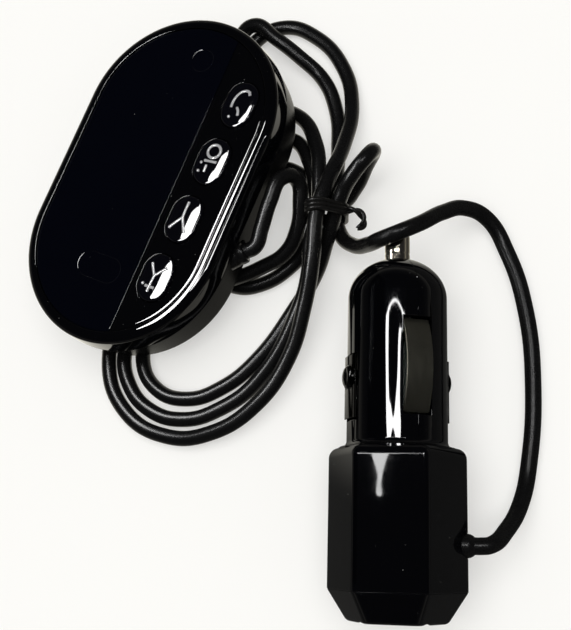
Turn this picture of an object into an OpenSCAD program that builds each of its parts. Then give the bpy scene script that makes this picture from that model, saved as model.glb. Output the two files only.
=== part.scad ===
// Car FM transmitter: a hand-held control pod, a cigarette-lighter plug with two
// charging sockets, and the cord that joins them, lying on a table.
// Millimetres, +Z up. The origin is on the table, under the middle of pod and plug.

/* [Control pod] */
// Length of the pod's face
pod_len = 79.8; // [76:0.2:90]
// Width of the pod's face
pod_wid = 49.4; // [46:0.2:54]
// Depth of the glossy front shell
front_depth = 6; // [5.6:0.1:7]
// Depth of the satin rear shell
rear_depth = 9; // [8.6:0.1:12]
// How far the parting line stands out past the face, per side
pod_flare = 0.3; // [0.1:0.05:0.6]
// How far the back is drawn in past the face, per side
pod_draft = 0.5; // [0.2:0.05:1]
// Rounding of the front rim
front_round = 1.4; // [0.8:0.1:1.6]
// Rounding of the back edge
back_round = 1.6; // [0.8:0.1:2]
// Wall of both shells
pod_wall = 1.8; // [1.4:0.1:2]
// Turn of the pod on the table
pod_yaw = 22; // [20:0.5:24]
// Tilt of the pod, right side up
pod_roll = 10; // [9.5:0.25:10.5]
// Middle of the pod's face, across
pod_x = -19.9; // [-24:0.1:-18]
// Middle of the pod's face, along
pod_y = 28.1; // [26:0.1:32]

/* [Pod face] */
// Rim round the lens and the button strip
rim_wid = 2.6; // [2.2:0.1:3]
// Thickness of the lens and the button strip
lens_thick = 1.6; // [1.2:0.1:1.8]
// How far the lens lies below the rim
lens_drop = 0.15; // [0.05:0.05:0.3]
// Thickness of the panel under the lens
panel_thick = 1.2; // [0.8:0.1:1.4]
// Split between lens and button strip, left of the middle of the buttons
split_in = 6.35; // [5.9:0.05:6.8]
// Gap at that split
split_gap = 0.2; // [0.1:0.05:0.3]
// How far the panel covers the display's edge, all round
window_edge = 2; // [1.5:0.1:4]
// Middle of the display, left of the pod's middle
display_x = -6.5; // [-7:0.1:-6]
// Radius of the shallow round mark in the lens
mark_r = 3; // [2:0.1:3.4]
// Place of the round mark, across the pod
mark_x = 0.6; // [0:0.1:1.2]
// Middle of the round mark, from the pod's top end
mark_end = 10.4; // [9.9:0.1:11.9]
// Width of the shallow long mark in the lens
slot_mark_wid = 6.5; // [4:0.1:7]
// Length of the shallow long mark, across the pod
slot_mark_len = 12; // [10:0.1:13]
// Place of the long mark, across the pod
slot_mark_x = -1.9; // [-3:0.1:-1]
// Middle of the long mark, from the pod's bottom end
slot_mark_end = 16.6; // [15.9:0.1:17.9]
// Depth of both marks
mark_deep = 0.25; // [0.1:0.05:0.4]

/* [Buttons] */
// Middle of the outermost buttons, from the pod's ends
button_end = 18.6; // [18.2:0.1:19.2]
// Bridge between two buttons
button_bridge = 3.2; // [3:0.1:4.4]
// Width of a button, as a share of its length
button_shape = 0.71; // [0.6:0.01:0.74]
// Middle of the row, in from the side of the face's opening
button_in = 8.05; // [7.9:0.05:8.6]
// How far each button sits further right than the one below it
button_lean = 0.55; // [0:0.05:0.6]
// How far a button stands out of the face
button_proud = 0.8; // [0.6:0.1:1.2]
// Rounding of a button's top edge
button_round = 0.7; // [0.4:0.1:0.9]
// Gap round a button
button_gap = 0.25; // [0.15:0.05:0.35]
// Flange round a button's foot
button_flange = 0.7; // [0.5:0.05:0.8]
// Thickness of that flange
flange_thick = 1; // [0.7:0.1:1.1]
// Travel of a button
button_travel = 0.7; // [0.4:0.1:0.8]

/* [Inside the pod] */
// Thickness of the circuit board
board_thick = 1.2; // [0.8:0.1:1.6]
// Depth of the board's top below the face
board_top = 7; // [6.9:0.1:7.6]
// Gap between board and wall
board_gap = 1.3; // [1:0.1:1.6]
// Side of a tactile switch
switch_side = 5.2; // [4.5:0.1:6]
// Height of a tactile switch
switch_tall = 2.4; // [2.2:0.1:2.6]
// Radius of a switch's plunger
plunger_r = 1.2; // [0.8:0.1:1.4]
// Width of the display
display_wid = 21; // [19:0.5:22]
// From the display's ends to the pod's ends
display_end = 21.9; // [20:0.1:22.4]
// Thickness of the display glass
glass_thick = 2.2; // [1.6:0.1:2.3]
// Radius of the microphone
mic_r = 3; // [2:0.1:3.2]
// Height of the microphone
mic_tall = 2.6; // [2:0.1:3.4]
// Screw shank radius
screw_r = 0.95; // [0.8:0.05:1.1]
// Screw head radius
screw_head_r = 2.1; // [1.8:0.1:2.3]
// Screw head height
screw_head = 1.1; // [0.9:0.1:1.4]
// Radius of a screw boss
boss_r = 3; // [2.8:0.1:3.2]

/* [Plug] */
// Length of the six-sided body
body_len = 34.7; // [32:0.1:38]
// Size of the six-sided body across its corners
body_corners = 29.1; // [28:0.1:31]
// Length of the tapered end cap
cap_len = 6.2; // [5:0.1:7]
// How far the end cap's corners are drawn in
cap_taper = 4.1; // [3:0.1:4.6]
// Length of the collar in front of the body
collar_len = 1.5; // [1.2:0.1:2]
// How far the collar stands out of the barrel
collar_proud = 1; // [0.6:0.1:1.2]
// How far the body's front edge is drawn in
shoulder = 1.8; // [1.2:0.1:2]
// Length of the barrel, collar included
barrel_len = 31.7; // [30:0.1:34]
// Diameter of the barrel, which fits a car's socket
barrel_d = 21; // [20.5:0.1:21.4]
// Length of the dome on the barrel
dome_len = 8.4; // [8:0.1:10]
// Wall of the barrel
barrel_wall = 2; // [1.8:0.1:2.2]
// Wall of the six-sided body
body_wall = 2; // [1.6:0.1:2.2]
// Turn of the seam away from the top
seam_turn = 30; // [28:1:32]
// Middle of the plug, across
plug_x = 35.7; // [34:0.1:38]
// Rear end of the plug, along
plug_y = -67.1; // [-70:0.1:-64]

/* [Contacts] */
// Diameter of the tip contact
tip_d = 5.4; // [4.6:0.1:6]
// How far the tip stands out
tip_out = 6.5; // [5:0.1:8]
// Travel of the tip
tip_travel = 2.5; // [1.5:0.1:3]
// Width of a spring slot
slot_wid = 6.3; // [5.4:0.1:7]
// Length of a spring slot
slot_len = 20.2; // [18:0.1:22]
// Middle of the slots, behind the dome
slot_back = 15.6; // [14:0.1:16.4]
// Thickness of a leaf spring
leaf_thick = 0.5; // [0.4:0.05:0.6]
// Rise of a leaf spring from its ends to its crest
leaf_rise = 2.2; // [1.8:0.1:2.6]
// Travel of a leaf spring, from its crest to the barrel
leaf_travel = 1; // [0.6:0.1:1.1]
// Radius of the nub on a ground contact
nub_r = 2.8; // [2.4:0.1:2.85]
// How far a ground nub stands out of the barrel
nub_proud = 1.3; // [1:0.1:1.5]
// Middle of the ground nubs, behind the dome
nub_back = 17.5; // [16:0.1:18]
// Length of a ground contact's strip in front of its nub
strip_front = 4.5; // [4:0.1:5]
// Length of a ground contact's strip behind its nub
strip_back = 8.6; // [6:0.1:9]

/* [Charging sockets] */
// Width of a socket shell
usb_wid = 13.1; // [12.8:0.1:13.4]
// Height of a socket shell
usb_tall = 5.7; // [5.5:0.1:5.9]
// Depth of a socket shell
usb_deep = 13.6; // [12:0.1:15]
// Sheet thickness of a socket shell
usb_sheet = 0.3; // [0.2:0.05:0.4]
// Pitch of the two sockets
usb_pitch = 8.5; // [8:0.1:9]
// Width of the tongue
tongue_wid = 11.1; // [10.8:0.1:11.4]
// Thickness of the tongue
tongue_thick = 1.84; // [1.7:0.02:2]

/* [Inside the plug] */
// Width of the power board
power_wid = 15; // [13:0.5:15.5]
// Radius of the power inductor
coil_r = 4; // [3:0.1:5]
// Height of the power inductor
coil_tall = 4.8; // [4:0.1:6]
// Radius of the input capacitor
can_r = 3.15; // [2.5:0.05:3.5]
// Height of the input capacitor
can_tall = 7; // [6:0.1:8]
// Radius of the output capacitor
small_can_r = 2.5; // [2:0.1:2.6]
// Length of the output capacitor
small_can_len = 11; // [8:0.5:12]

/* [Cord] */
// Diameter of the cord
cord_d = 3.5; // [3:0.1:3.6]
// Radius of the strain relief at the pod
nozzle_r = 2.5; // [2.3:0.05:2.6]
// Radius of the gland at the plug
gland_r = 2.45; // [2.2:0.05:2.6]
// Middle of the gland, from the plug's rear end
gland_y = 15.3; // [14:0.1:17]
// How far the gland stands out of the plug's corner
gland_proud = 1.05; // [0.6:0.05:1.5]
// Width of the tie round the bundle
tie_wid = 2.8; // [2.4:0.1:3.2]
// Thickness of the tie
tie_thick = 0.9; // [0.7:0.1:1.1]

/* [Hidden] */

// Smoothness of round shapes
$fn = 64;
// How far a cut runs past the face that it opens
over = 1;
// Gap between pieces that are fitted together
fit = 0.1;
// Steps in a rounded edge
round_steps = 5;

// Pod: radii and middles of its round ends
face_r = pod_wid / 2;
end_y = (pod_len - pod_wid) / 2;
part_r = face_r + pod_flare;
back_r = face_r - pod_draft;
pod_deep = front_depth + rear_depth;
cavity_r = face_r - pod_wall;
back_thick = pod_wall;
opening_r = face_r - rim_wid;
panel_top = -lens_thick;
panel_low = panel_top - panel_thick;
lens_top = -lens_drop;
lip_tall = 1;
lip_thick = 1;
// The pod lies on the strands under it, its back left edge just off the table
pod_lift = 0.3;
pod_z = (back_r - back_round) * sin(pod_roll) + (pod_deep - back_round) * cos(pod_roll)
    + back_round + pod_lift;
board_low = -board_top - board_thick;
board_r = cavity_r - board_gap;
board_notch_deep = 4.4;
board_notch_low = -24;
board_notch_high = -8;
back_floor = -pod_deep + back_thick;

// Places on the face: marks, middle of the button row, split line and display
mark_y = pod_len / 2 - mark_end;
slot_mark_y = slot_mark_end - pod_len / 2;
row_x = opening_r - button_in;
split_x = row_x - split_in;
display_len = pod_len - 2 * display_end;

// Sizes of the buttons
button_pitch = (pod_len - 2 * button_end) / 3;
button_len = button_pitch - button_bridge;
button_wid = button_len * button_shape;

// Screws of the pod: places round the middles of its ends, and the bore that each runs in
screw_in = 4.9;
screw_ring = cavity_r - screw_in;
screw_turns = [66, 140];
screw_places = [
    for (a = screw_turns, side = [1, -1])
        [screw_ring * cos(a), side * (screw_ring * sin(a) + end_y)]
];
screw_bite = 0.6;
front_boss_r = 2.4;
thread_gap = 0.05;
pilot_r = screw_r + thread_gap;
screw_clear_r = screw_r + 2 * fit;
screw_sink = screw_head + 2 * fit;
screw_reach = screw_bite - panel_low;

// Buttons: cap, flange, stem, plunger and switch, from the face down
flange_top = panel_top - fit / 2;
flange_low = flange_top - flange_thick;
stem_r = 1.5;
switch_top = -board_top + switch_tall;
stem_low = switch_top + button_travel + 3 * fit;
plunger_low = switch_top - button_travel - fit;
bore_low = plunger_low - button_travel - fit;
cap_proud = button_proud - button_round;

// Display stack between the board and the panel
glass_top = panel_low - 1.5 * fit;
glass_low = glass_top - glass_thick;
light_top = glass_low - fit / 2;

// Small parts on the back of the pod's board
shield_size = [14, 12, 2.4];
shield_at = [-8, 8];
chip_size = [9, 9, 1.2];
chip_at = [-8, -9];
plug_in_size = [8, 5, 4.4];
plug_in_at = [6, -16];
lead_r = 0.5;
lead_pitch = 1.4;
lead_count = 3;
lead_gap = 0.4;
lead_run = 7.9;

// Strain relief of the pod: where it ends, its heading and its flange
nozzle_turn = 45;
nozzle_proud = 0.9;
nozzle_end = [part_r + nozzle_proud, -7.9, -9];
nozzle_flange_r = 2.95;
nozzle_flange = 1.2;
nozzle_len = 7.3;

// Plug: stations along it from its rear end, and its radii
corner_r = body_corners / 2;
plug_z = corner_r * cos(30);
body_cavity_r = corner_r - body_wall / cos(30);
barrel_r = barrel_d / 2;
barrel_end = body_len + barrel_len;
dome_end = barrel_end + dome_len;
tip_end = dome_end + tip_out;
bore_r = barrel_r - barrel_wall;
front_wall = 2;
cap_skirt = 2.5;
dome_wall = 2;
tip_r = tip_d / 2;
tip_gap = 0.05;
tip_lip = 1.3;
tip_flange_r = tip_r + tip_lip;
tip_flange = 1.6;
tip_well_gap = 0.4;
tip_well_r = tip_flange_r + tip_well_gap;
tip_seat = dome_end - dome_wall - tip_well_gap;
tip_nose = 1.2;
// Share of a full quarter that the dome's side runs through, as an angle
dome_sweep = 72;

// Leaf springs: an arc over its chord, with feet behind the slot's ends
slot_mid = barrel_end - slot_back;
leaf_wid = slot_wid - 6 * fit;
leaf_half = slot_len / 2 - 4 * fit;
leaf_crest = barrel_r + leaf_travel;
leaf_foot_out = 1.2;
leaf_foot_top = bore_r - 6 * fit;
leaf_arc_r = (leaf_half * leaf_half + leaf_rise * leaf_rise) / (2 * leaf_rise);
leaf_half_angle = asin(leaf_half / leaf_arc_r);

// Ground contacts: a strip with a nub, on a spring arm that turns at its rear end
nub_mid = barrel_end - nub_back;
nub_top = barrel_r + nub_proud;
nub_flat_r = nub_r / 2;
strip_thick = 0.3;
strip_proud = 0.55;
strip_top = barrel_r + strip_proud;
strip_wid = slot_wid - 6 * fit;
strip_gap = 4 * fit;
post_r = 1.6;
arm_wid = 4;
arm_thick = 0.4;
arm_len = 12;
arm_in = 1.4;
arm_top = bore_r - arm_in;
knuckle_r = 0.6;
knuckle_z = arm_top - arm_thick / 2;
pad_low = knuckle_z + knuckle_r + fit;
pad_len = 3;

// Sockets: insides and places
usb_gap = 0.1;
usb_in_wid = usb_wid - 2 * usb_sheet;
usb_in_tall = usb_tall - 2 * usb_sheet;
usb_front = 0.6;
usb_mid = usb_pitch / 2;
tongue_front = 1.2;
tongue_off = 0.7;
usb_block = 3;
usb_leg = 2;
usb_leg_places = [4, 9];

// Power board and what stands on it
power_thick = 1.2;
power_front = 3;
seat_r = 4.2;
seat_thick = 1;
seat_leg = 2.6;
seat_leg_wid = 3;
spring_wire_r = 0.3;
spring_r = 3;
spring_turns = 5;
spring_steps = 12;
spring_spare = 4.7;
spring_len = 2 * spring_wire_r * spring_turns + tip_travel + spring_spare;
power_end = tip_seat - tip_flange - spring_len - seat_thick;
coil_at = 26;
can_at = [-4, 20];
small_can_gap = 2;
small_can_at = power_end - seat_leg - small_can_gap - small_can_len;
small_can_x = -1;
reg_size = [5, 6, 1.5];
reg_at = 23;
gland_lip = 0.85;
gland_flange_r = gland_r + gland_lip;
gland_flange = 1.2;
gland_flange_x = body_cavity_r - gland_flange_r / tan(60) - fit;

// Sides of a cord's tube, and of thin wires
cord_sides = 8;
wire_sides = 6;

// The cord's route, from the pod to the plug: five lanes under the pod, gathered in the tie.
// First the small loop beside the pod, and the shortest turn of the bundle.
route_small_loop = [
    [6, 15.5, 15.6], [8, 21.5, 16.5], [10.4, 27, 15.8], [13, 27.6, 13], [13.6, 22.5, 10.5],
    [12.4, 17, 8], [9.5, 12.5, 6.2], [4, 9.5, 5.4], [-2, 7.2, 5.4], [-8, 6.5, 5.1],
    [-12, 11, 3.2], [-10.3, 20.5, 1.8], [-4.5, 33, 1.8], [3, 41, 1.8], [10, 41, 3.2],
    [14.5, 34.5, 5], [16, 27, 5.4], [16.6, 22, 5.3]
];
// The second turn, and the stub that stands up right of the tie.
route_stub = [
    [14.5, 16, 3.8], [10, 10.5, 1.8], [3.5, 6.5, 1.8], [-3, 6, 1.8], [-7.5, 9, 1.8],
    [-7.5, 14.5, 1.8], [-4, 23, 1.8], [0, 30.5, 1.8], [5.5, 34.5, 1.8], [11.5, 33, 1.8],
    [16.3, 27.2, 1.8], [21.5, 25.4, 1.8], [25, 28.5, 2.8], [28, 32.5, 6.4], [30.2, 34, 11],
    [29.2, 31, 15.6], [26, 27.5, 14.5], [23.3, 24.5, 11.5], [21.6, 21, 9.5]
];
// The inner of the three long turns.
route_inner_turn = [
    [19, 14.5, 6.5], [16.5, 9, 3.2], [12.5, 2.5, 1.8], [2.5, -11.5, 1.8], [-5.5, -17.8, 1.8],
    [-13.5, -20.3, 1.8], [-21, -18, 1.8], [-24.8, -11, 1.8], [-22.5, -1.5, 1.8], [-15.7, 17, 1.8],
    [-7.8, 36, 1.8], [-2, 44.5, 1.8], [4.5, 49, 1.8], [11.5, 46.5, 4], [16.3, 38, 7],
    [17.4, 29.5, 8.6], [17.3, 21, 9]
];
// The middle one.
route_middle_turn = [
    [15.8, 13.5, 9], [15.3, 8, 7.4], [13, 0, 5.8], [3, -16.3, 2.4], [-5.7, -22.6, 1.8],
    [-14, -25, 1.8], [-22.3, -22.9, 1.8], [-28, -16.5, 1.8], [-29.3, -8.5, 1.8], [-23.8, 6.5, 1.8],
    [-14, 31.5, 1.8], [-7, 53, 1.8], [-3, 62, 1.8], [0, 68, 1.8], [7, 71, 1.8],
    [14.8, 67.8, 1.8], [21.5, 59.5, 1.8], [24, 49, 3], [22.8, 37.5, 7], [20, 27.5, 11.5],
    [17.9, 20, 12.9]
];
// The outer one.
route_outer_turn = [
    [17, 10, 11.9], [14.8, -0.5, 9], [10.8, -12, 6.3], [3.5, -22, 5], [-7, -28.2, 3.5],
    [-18, -28.9, 2.2], [-28.5, -23, 1.8], [-33.2, -11, 1.8], [-28, 8, 1.8], [-17.5, 35, 1.8],
    [-10.3, 54.5, 1.8], [-5.5, 64.2, 1.8], [-4, 68.2, 3.1], [0.3, 70.4, 5.3], [5.5, 66.6, 5.2],
    [11.2, 62, 3.8], [16.8, 56.5, 2.1], [20, 48.5, 1.8], [20.9, 38, 3], [20.9, 29.5, 5.2],
    [20.8, 22, 5.1]
];
// Over the plug's tip, round its right side and up to the gland.
route_to_plug = [
    [22, 16.8, 4.2], [25.2, 13.6, 6.6], [29.2, 12.2, 11.6], [32.5, 12, 16], [36.2, 12.7, 17.9],
    [40.8, 15, 16.4], [45.5, 18.8, 11.8], [50, 21, 7.4], [54.8, 19.5, 3.6], [59, 12, 1.8],
    [62.6, -1, 1.8], [63.8, -17.5, 1.8], [62.5, -34.5, 1.8], [60.6, -42.8, 4.2],
    [57.5, -48.6, 8.6]
];
cord_lead = 2.5;
cord_run_out = [3.2, 0.3, -0.5];
cord_straight = 1;
// Where the strands pass through the tie, across and up, and the tie's middle along
tie_y = 21;
tie_gap = 0.35;
tie_strands = [[16.6, 5.3], [17.2, 9], [18, 12.8], [20.8, 5], [21.5, 9.4]];
tie_tail_d = 1.8;
tie_tail_route = [
    [23.9, 20.9, 9.4], [25.4, 20.9, 10], [26.9, 20.3, 9.9], [27.8, 19, 9.2], [27.6, 17.6, 8.6],
    [26.4, 16.9, 8.6]
];

// A point of the pod's own frame, in the frame of the whole
function turn_y(p, a) = [p.x * cos(a) + p.z * sin(a), p.y, p.z * cos(a) - p.x * sin(a)];
function turn_z(p, a) = [p.x * cos(a) - p.y * sin(a), p.x * sin(a) + p.y * cos(a), p.z];
function in_pod(p) = turn_z(turn_y(p, -pod_roll), -pod_yaw) + [pod_x, pod_y, pod_z];

nozzle_heading = [cos(nozzle_turn), sin(nozzle_turn), 0];
cord_start = in_pod(nozzle_end);
cord_second = in_pod(nozzle_end + cord_lead * nozzle_heading);
cord_end = [plug_x + corner_r + gland_proud, plug_y + gland_y, plug_z];
cord_route = concat(
    [cord_start, cord_second], route_small_loop, route_stub, route_inner_turn,
    route_middle_turn, route_outer_turn, route_to_plug,
    [cord_end + cord_run_out, cord_end + [cord_straight, 0, 0], cord_end]);

function unit(v) = v / norm(v);

// Heading of the route at its point i, level with its neighbours at both ends
function heading(path, i) =
    unit(path[min(i + 1, len(path) - 1)] - path[max(i - 1, 0)]);

// A direction square to the route at each point, carried along so that the tube doesn't twist
function square_to(v, t) = unit(v - (v * t) * t);
function sides_along(path) =
    [for (i = 0, v = square_to([0.1, 0.1, 1], heading(path, 0)); i < len(path);
          i = i + 1, v = square_to(v, heading(path, min(i, len(path) - 1)))) v];

// One closed tube along a route
module tube(path, radius, sides) {
    across = sides_along(path);
    rings = [
        for (i = [0:len(path) - 1], k = [0:sides - 1])
            let (t = heading(path, i), a = 360 * k / sides, v = across[i])
            path[i] + radius * (cos(a) * v + sin(a) * cross(t, v))
    ];
    last = (len(path) - 1) * sides;
    walls = [
        for (i = [0:len(path) - 2], k = [0:sides - 1])
            let (a = i * sides + k, b = i * sides + (k + 1) % sides)
            each [[a, b, b + sides], [a, b + sides, a + sides]]
    ];
    first_end = [[for (k = [0:sides - 1]) sides - 1 - k]];
    last_end = [[for (k = [0:sides - 1]) last + k]];
    polyhedron(rings, concat(first_end, walls, last_end));
}

// A straight round bar from one point to another
module bar(a, b, radius) {
    d = b - a;
    translate(a)
        rotate([0, acos(d.z / norm(d)), atan2(d.y, d.x)])
            cylinder(h = norm(d), r = radius);
}

// Points of a quarter round about a middle, from one angle to another
function arc(mid, radius, from, to) =
    [for (i = [0:round_steps])
        let (a = from + (to - from) * i / round_steps)
        mid + radius * [cos(a), sin(a)]];

// Flat outline with round ends, long way along Y
module stadium(radius, half) {
    square([2 * radius, 2 * half], center = true);
    for (side = [-1, 1])
        translate([0, side * half])
            circle(r = radius);
}

// A prism on that outline, between two heights
module pill_plate(radius, half, low, high) {
    translate([0, 0, low])
        linear_extrude(high - low)
            stadium(radius, half);
}

// A solid with round ends whose side follows an outline of distances and heights
module pill(outline, half) {
    translate([0, half, 0])
        rotate_extrude(angle = 180)
            polygon(outline);
    translate([0, -half, 0])
        rotate([0, 0, 180])
            rotate_extrude(angle = 180)
                polygon(outline);
    rotate([90, 0, 0])
        linear_extrude(2 * half, center = true) {
            polygon(outline);
            mirror([1, 0])
                polygon(outline);
        }
}

// Frames of the pod, of the plug and of the plug's seam
module at_pod() {
    translate([pod_x, pod_y, pod_z])
        rotate([0, 0, -pod_yaw])
            rotate([0, -pod_roll, 0])
                children();
}
module at_plug() {
    translate([plug_x, plug_y, plug_z])
        children();
}
module at_seam() {
    at_plug()
        rotate([0, seam_turn, 0])
            children();
}

// A solid of revolution about the plug's axis, from distances and stations
module lathe(outline) {
    rotate([-90, 0, 0])
        rotate_extrude()
            polygon(outline);
}

// A six-sided bar along the plug's axis
module hexagon(from, to, r_from, r_to) {
    translate([0, from, 0])
        rotate([-90, 0, 0])
            cylinder(h = to - from, r1 = r_from, r2 = r_to, $fn = 6);
}

// Where button number n sits, counted from the top of the row
function button_at(n) = [row_x + (1.5 - n) * button_lean, (1.5 - n) * button_pitch];

module pod_front_shell() {
    outline = concat(
        [[0, -front_depth], [part_r, -front_depth]],
        arc([face_r - front_round, -front_round], front_round, 0, 90), [[0, 0]]);
    color([0.02, 0.02, 0.025])
        at_pod() {
            difference() {
                pill(outline, end_y);
                pill_plate(opening_r, end_y, panel_top, over);
                pill_plate(cavity_r, end_y, -front_depth - over, panel_low);
                translate([display_x - display_wid / 2 + window_edge,
                           window_edge - display_len / 2, panel_low - over])
                    cube([display_wid - 2 * window_edge, display_len - 2 * window_edge,
                          panel_thick + 2 * over]);
                for (n = [0:3])
                    translate(button_at(n))
                        pill_plate(button_wid / 2 + button_flange + 2 * fit,
                            (button_len - button_wid) / 2, panel_low - over, panel_top + over);
                translate([mark_x, mark_y, panel_low - over])
                    cylinder(h = panel_thick + 2 * over, r = mark_r / 3);
            }
            for (p = screw_places)
                translate([p.x, p.y, -board_top])
                    difference() {
                        cylinder(h = board_top + panel_low, r = front_boss_r);
                        translate([0, 0, -over])
                            cylinder(h = board_top - screw_reach + over + fit, r = pilot_r);
                    }
        }
}

// Half of the face insert: the lens left of the split, the button strip right of it
module face_insert(low_x, high_x) {
    intersection() {
        pill_plate(opening_r - fit, end_y, panel_top, lens_top);
        translate([low_x, -pod_len / 2, panel_top - over])
            cube([high_x - low_x, pod_len, lens_thick + 2 * over]);
    }
}

module display_lens() {
    color([0.01, 0.01, 0.02])
        at_pod()
            difference() {
                face_insert(-pod_wid / 2, split_x - split_gap / 2);
                translate([mark_x, mark_y, lens_top - mark_deep])
                    cylinder(h = mark_deep + over, r = mark_r);
                translate([slot_mark_x, slot_mark_y, 0])
                    rotate([0, 0, 90])
                        pill_plate(slot_mark_wid / 2, (slot_mark_len - slot_mark_wid) / 2,
                            lens_top - mark_deep, over);
            }
}

module button_strip() {
    color([0.015, 0.015, 0.02])
        at_pod()
            difference() {
                face_insert(split_x + split_gap / 2, pod_wid / 2);
                for (n = [0:3])
                    translate(button_at(n))
                        pill_plate(button_wid / 2 + button_gap, (button_len - button_wid) / 2,
                            panel_top - over, over);
            }
}

module pod_rear_shell() {
    outline = concat(
        [[0, -pod_deep]],
        arc([back_r - back_round, -pod_deep + back_round], back_round, -90, 0),
        [[part_r, -front_depth], [0, -front_depth]]);
    color([0.05, 0.05, 0.055])
        at_pod() {
            difference() {
                pill(outline, end_y);
                pill_plate(cavity_r, end_y, back_floor, over);
                nozzle_path(nozzle_r + thread_gap, -nozzle_len, 2 * over);
                for (p = screw_places)
                    translate([p.x, p.y, -pod_deep - over])
                        cylinder(h = back_thick + 2 * over, r = screw_head_r + fit);
            }
            difference() {
                pill_plate(cavity_r - fit, end_y, -front_depth - lip_tall, -front_depth + lip_tall);
                pill_plate(cavity_r - fit - lip_thick, end_y, -pod_deep, over);
                nozzle_path(nozzle_flange_r + fit, -nozzle_len - nozzle_flange, 2 * over);
            }
            difference() {
                pill_plate(cavity_r, end_y, -front_depth - lip_tall, -front_depth);
                pill_plate(cavity_r - fit - lip_thick / 2, end_y, -pod_deep, over);
                nozzle_path(nozzle_flange_r + fit, -nozzle_len - nozzle_flange, 2 * over);
            }
            for (p = screw_places)
                translate([p.x, p.y, -pod_deep])
                    difference() {
                        cylinder(h = pod_deep + board_low, r = boss_r);
                        translate([0, 0, -over])
                            cylinder(h = screw_sink + over, r = screw_head_r + fit);
                        cylinder(h = pod_deep, r = screw_clear_r);
                    }
        }
}

// A round bar on the strain relief's axis, between two distances from its end
module nozzle_path(radius, from, to) {
    bar(nozzle_end + from * nozzle_heading, nozzle_end + to * nozzle_heading, radius);
}

module pod_nozzle() {
    color([0.06, 0.06, 0.06])
        at_pod() {
            nozzle_path(nozzle_r, -nozzle_len - nozzle_flange, 0);
            nozzle_path(nozzle_flange_r, -nozzle_len - nozzle_flange, -nozzle_len);
        }
}

module pod_screws() {
    color([0.35, 0.35, 0.37])
        at_pod()
            for (p = screw_places)
                translate([p.x, p.y, -pod_deep + screw_sink]) {
                    translate([0, 0, -screw_head])
                        cylinder(h = screw_head, r = screw_head_r);
                    cylinder(h = pod_deep - screw_sink - screw_reach, r = screw_r);
                }
}

// Button n: domed cap, flange under the strip, and the stem to its switch
module button(n) {
    half = (button_len - button_wid) / 2;
    r = button_wid / 2;
    outline = concat(
        [[0, flange_top - fit], [r, flange_top - fit]],
        arc([r - button_round, cap_proud], button_round, 0, 90),
        [[0, button_proud]]);
    color([0.02, 0.02, 0.025])
        at_pod()
            translate(button_at(n)) {
                pill(outline, half);
                pill_plate(r + button_flange, half, flange_low, flange_top);
                translate([0, 0, stem_low])
                    cylinder(h = flange_low - stem_low + fit, r = stem_r);
            }
}
module button_call() { button(0); }
module button_source() { button(1); }
module button_forward() { button(2); }
module button_back() { button(3); }

module plunger(n) {
    color([0.12, 0.12, 0.13])
        at_pod()
            translate([button_at(n).x, button_at(n).y, plunger_low])
                cylinder(h = stem_low - plunger_low, r = plunger_r);
}
module plunger_call() { plunger(0); }
module plunger_source() { plunger(1); }
module plunger_forward() { plunger(2); }
module plunger_back() { plunger(3); }

module tact_switch(n) {
    color([0.6, 0.6, 0.62])
        at_pod()
            translate([button_at(n).x, button_at(n).y, -board_top])
                difference() {
                    translate([-switch_side / 2, -switch_side / 2, 0])
                        cube([switch_side, switch_side, switch_tall]);
                    translate([0, 0, board_top + bore_low])
                        cylinder(h = switch_tall + over, r = plunger_r + fit);
                }
}
module switch_call() { tact_switch(0); }
module switch_source() { tact_switch(1); }
module switch_forward() { tact_switch(2); }
module switch_back() { tact_switch(3); }

module pod_circuit_board() {
    color([0.05, 0.3, 0.12])
        at_pod()
            difference() {
                pill_plate(board_r, end_y, board_low, -board_top);
                translate([board_r - board_notch_deep, board_notch_low, board_low - over])
                    cube([pod_wid, board_notch_high - board_notch_low, board_thick + 2 * over]);
                for (p = screw_places)
                    translate([p.x, p.y, board_low - over])
                        cylinder(h = board_thick + 2 * over, r = screw_clear_r);
            }
}

// A plate of the display, between two heights
module display_plate(low, high) {
    at_pod()
        translate([display_x - display_wid / 2, -display_len / 2, low])
            cube([display_wid, display_len, high - low]);
}
module display_glass() {
    color([0.1, 0.12, 0.16])
        display_plate(glass_low, glass_top);
}
module display_backlight() {
    color([0.85, 0.86, 0.88])
        display_plate(-board_top, light_top);
}

// A block under the pod's board
module under_board(at, size) {
    at_pod()
        translate([at.x - size.x / 2, at.y - size.y / 2, board_low - size.z])
            cube(size);
}
module radio_shield() {
    color([0.75, 0.76, 0.78])
        under_board(shield_at, shield_size);
}
module control_chip() {
    color([0.03, 0.03, 0.03])
        under_board(chip_at, chip_size);
}
module pod_connector() {
    color([0.9, 0.88, 0.82])
        under_board(plug_in_at, plug_in_size);
}

module microphone() {
    color([0.7, 0.7, 0.72])
        at_pod()
            translate([mark_x, mark_y, -board_top])
                cylinder(h = mic_tall, r = mic_r);
}

module pod_leads() {
    from = nozzle_end - (nozzle_len + nozzle_flange + lead_gap) * nozzle_heading;
    to = [plug_in_at.x + plug_in_size.x / 2 + lead_gap / 2, plug_in_at.y,
          board_low - plug_in_size.z / 2];
    across = [-sin(nozzle_turn), cos(nozzle_turn), 0];
    color([0.7, 0.1, 0.08])
        at_pod()
            for (k = [0:lead_count - 1])
                let (off = (k - (lead_count - 1) / 2) * lead_pitch)
                bar(from + off * across, to + off * [0, 1, 0], lead_r);
}

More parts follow.
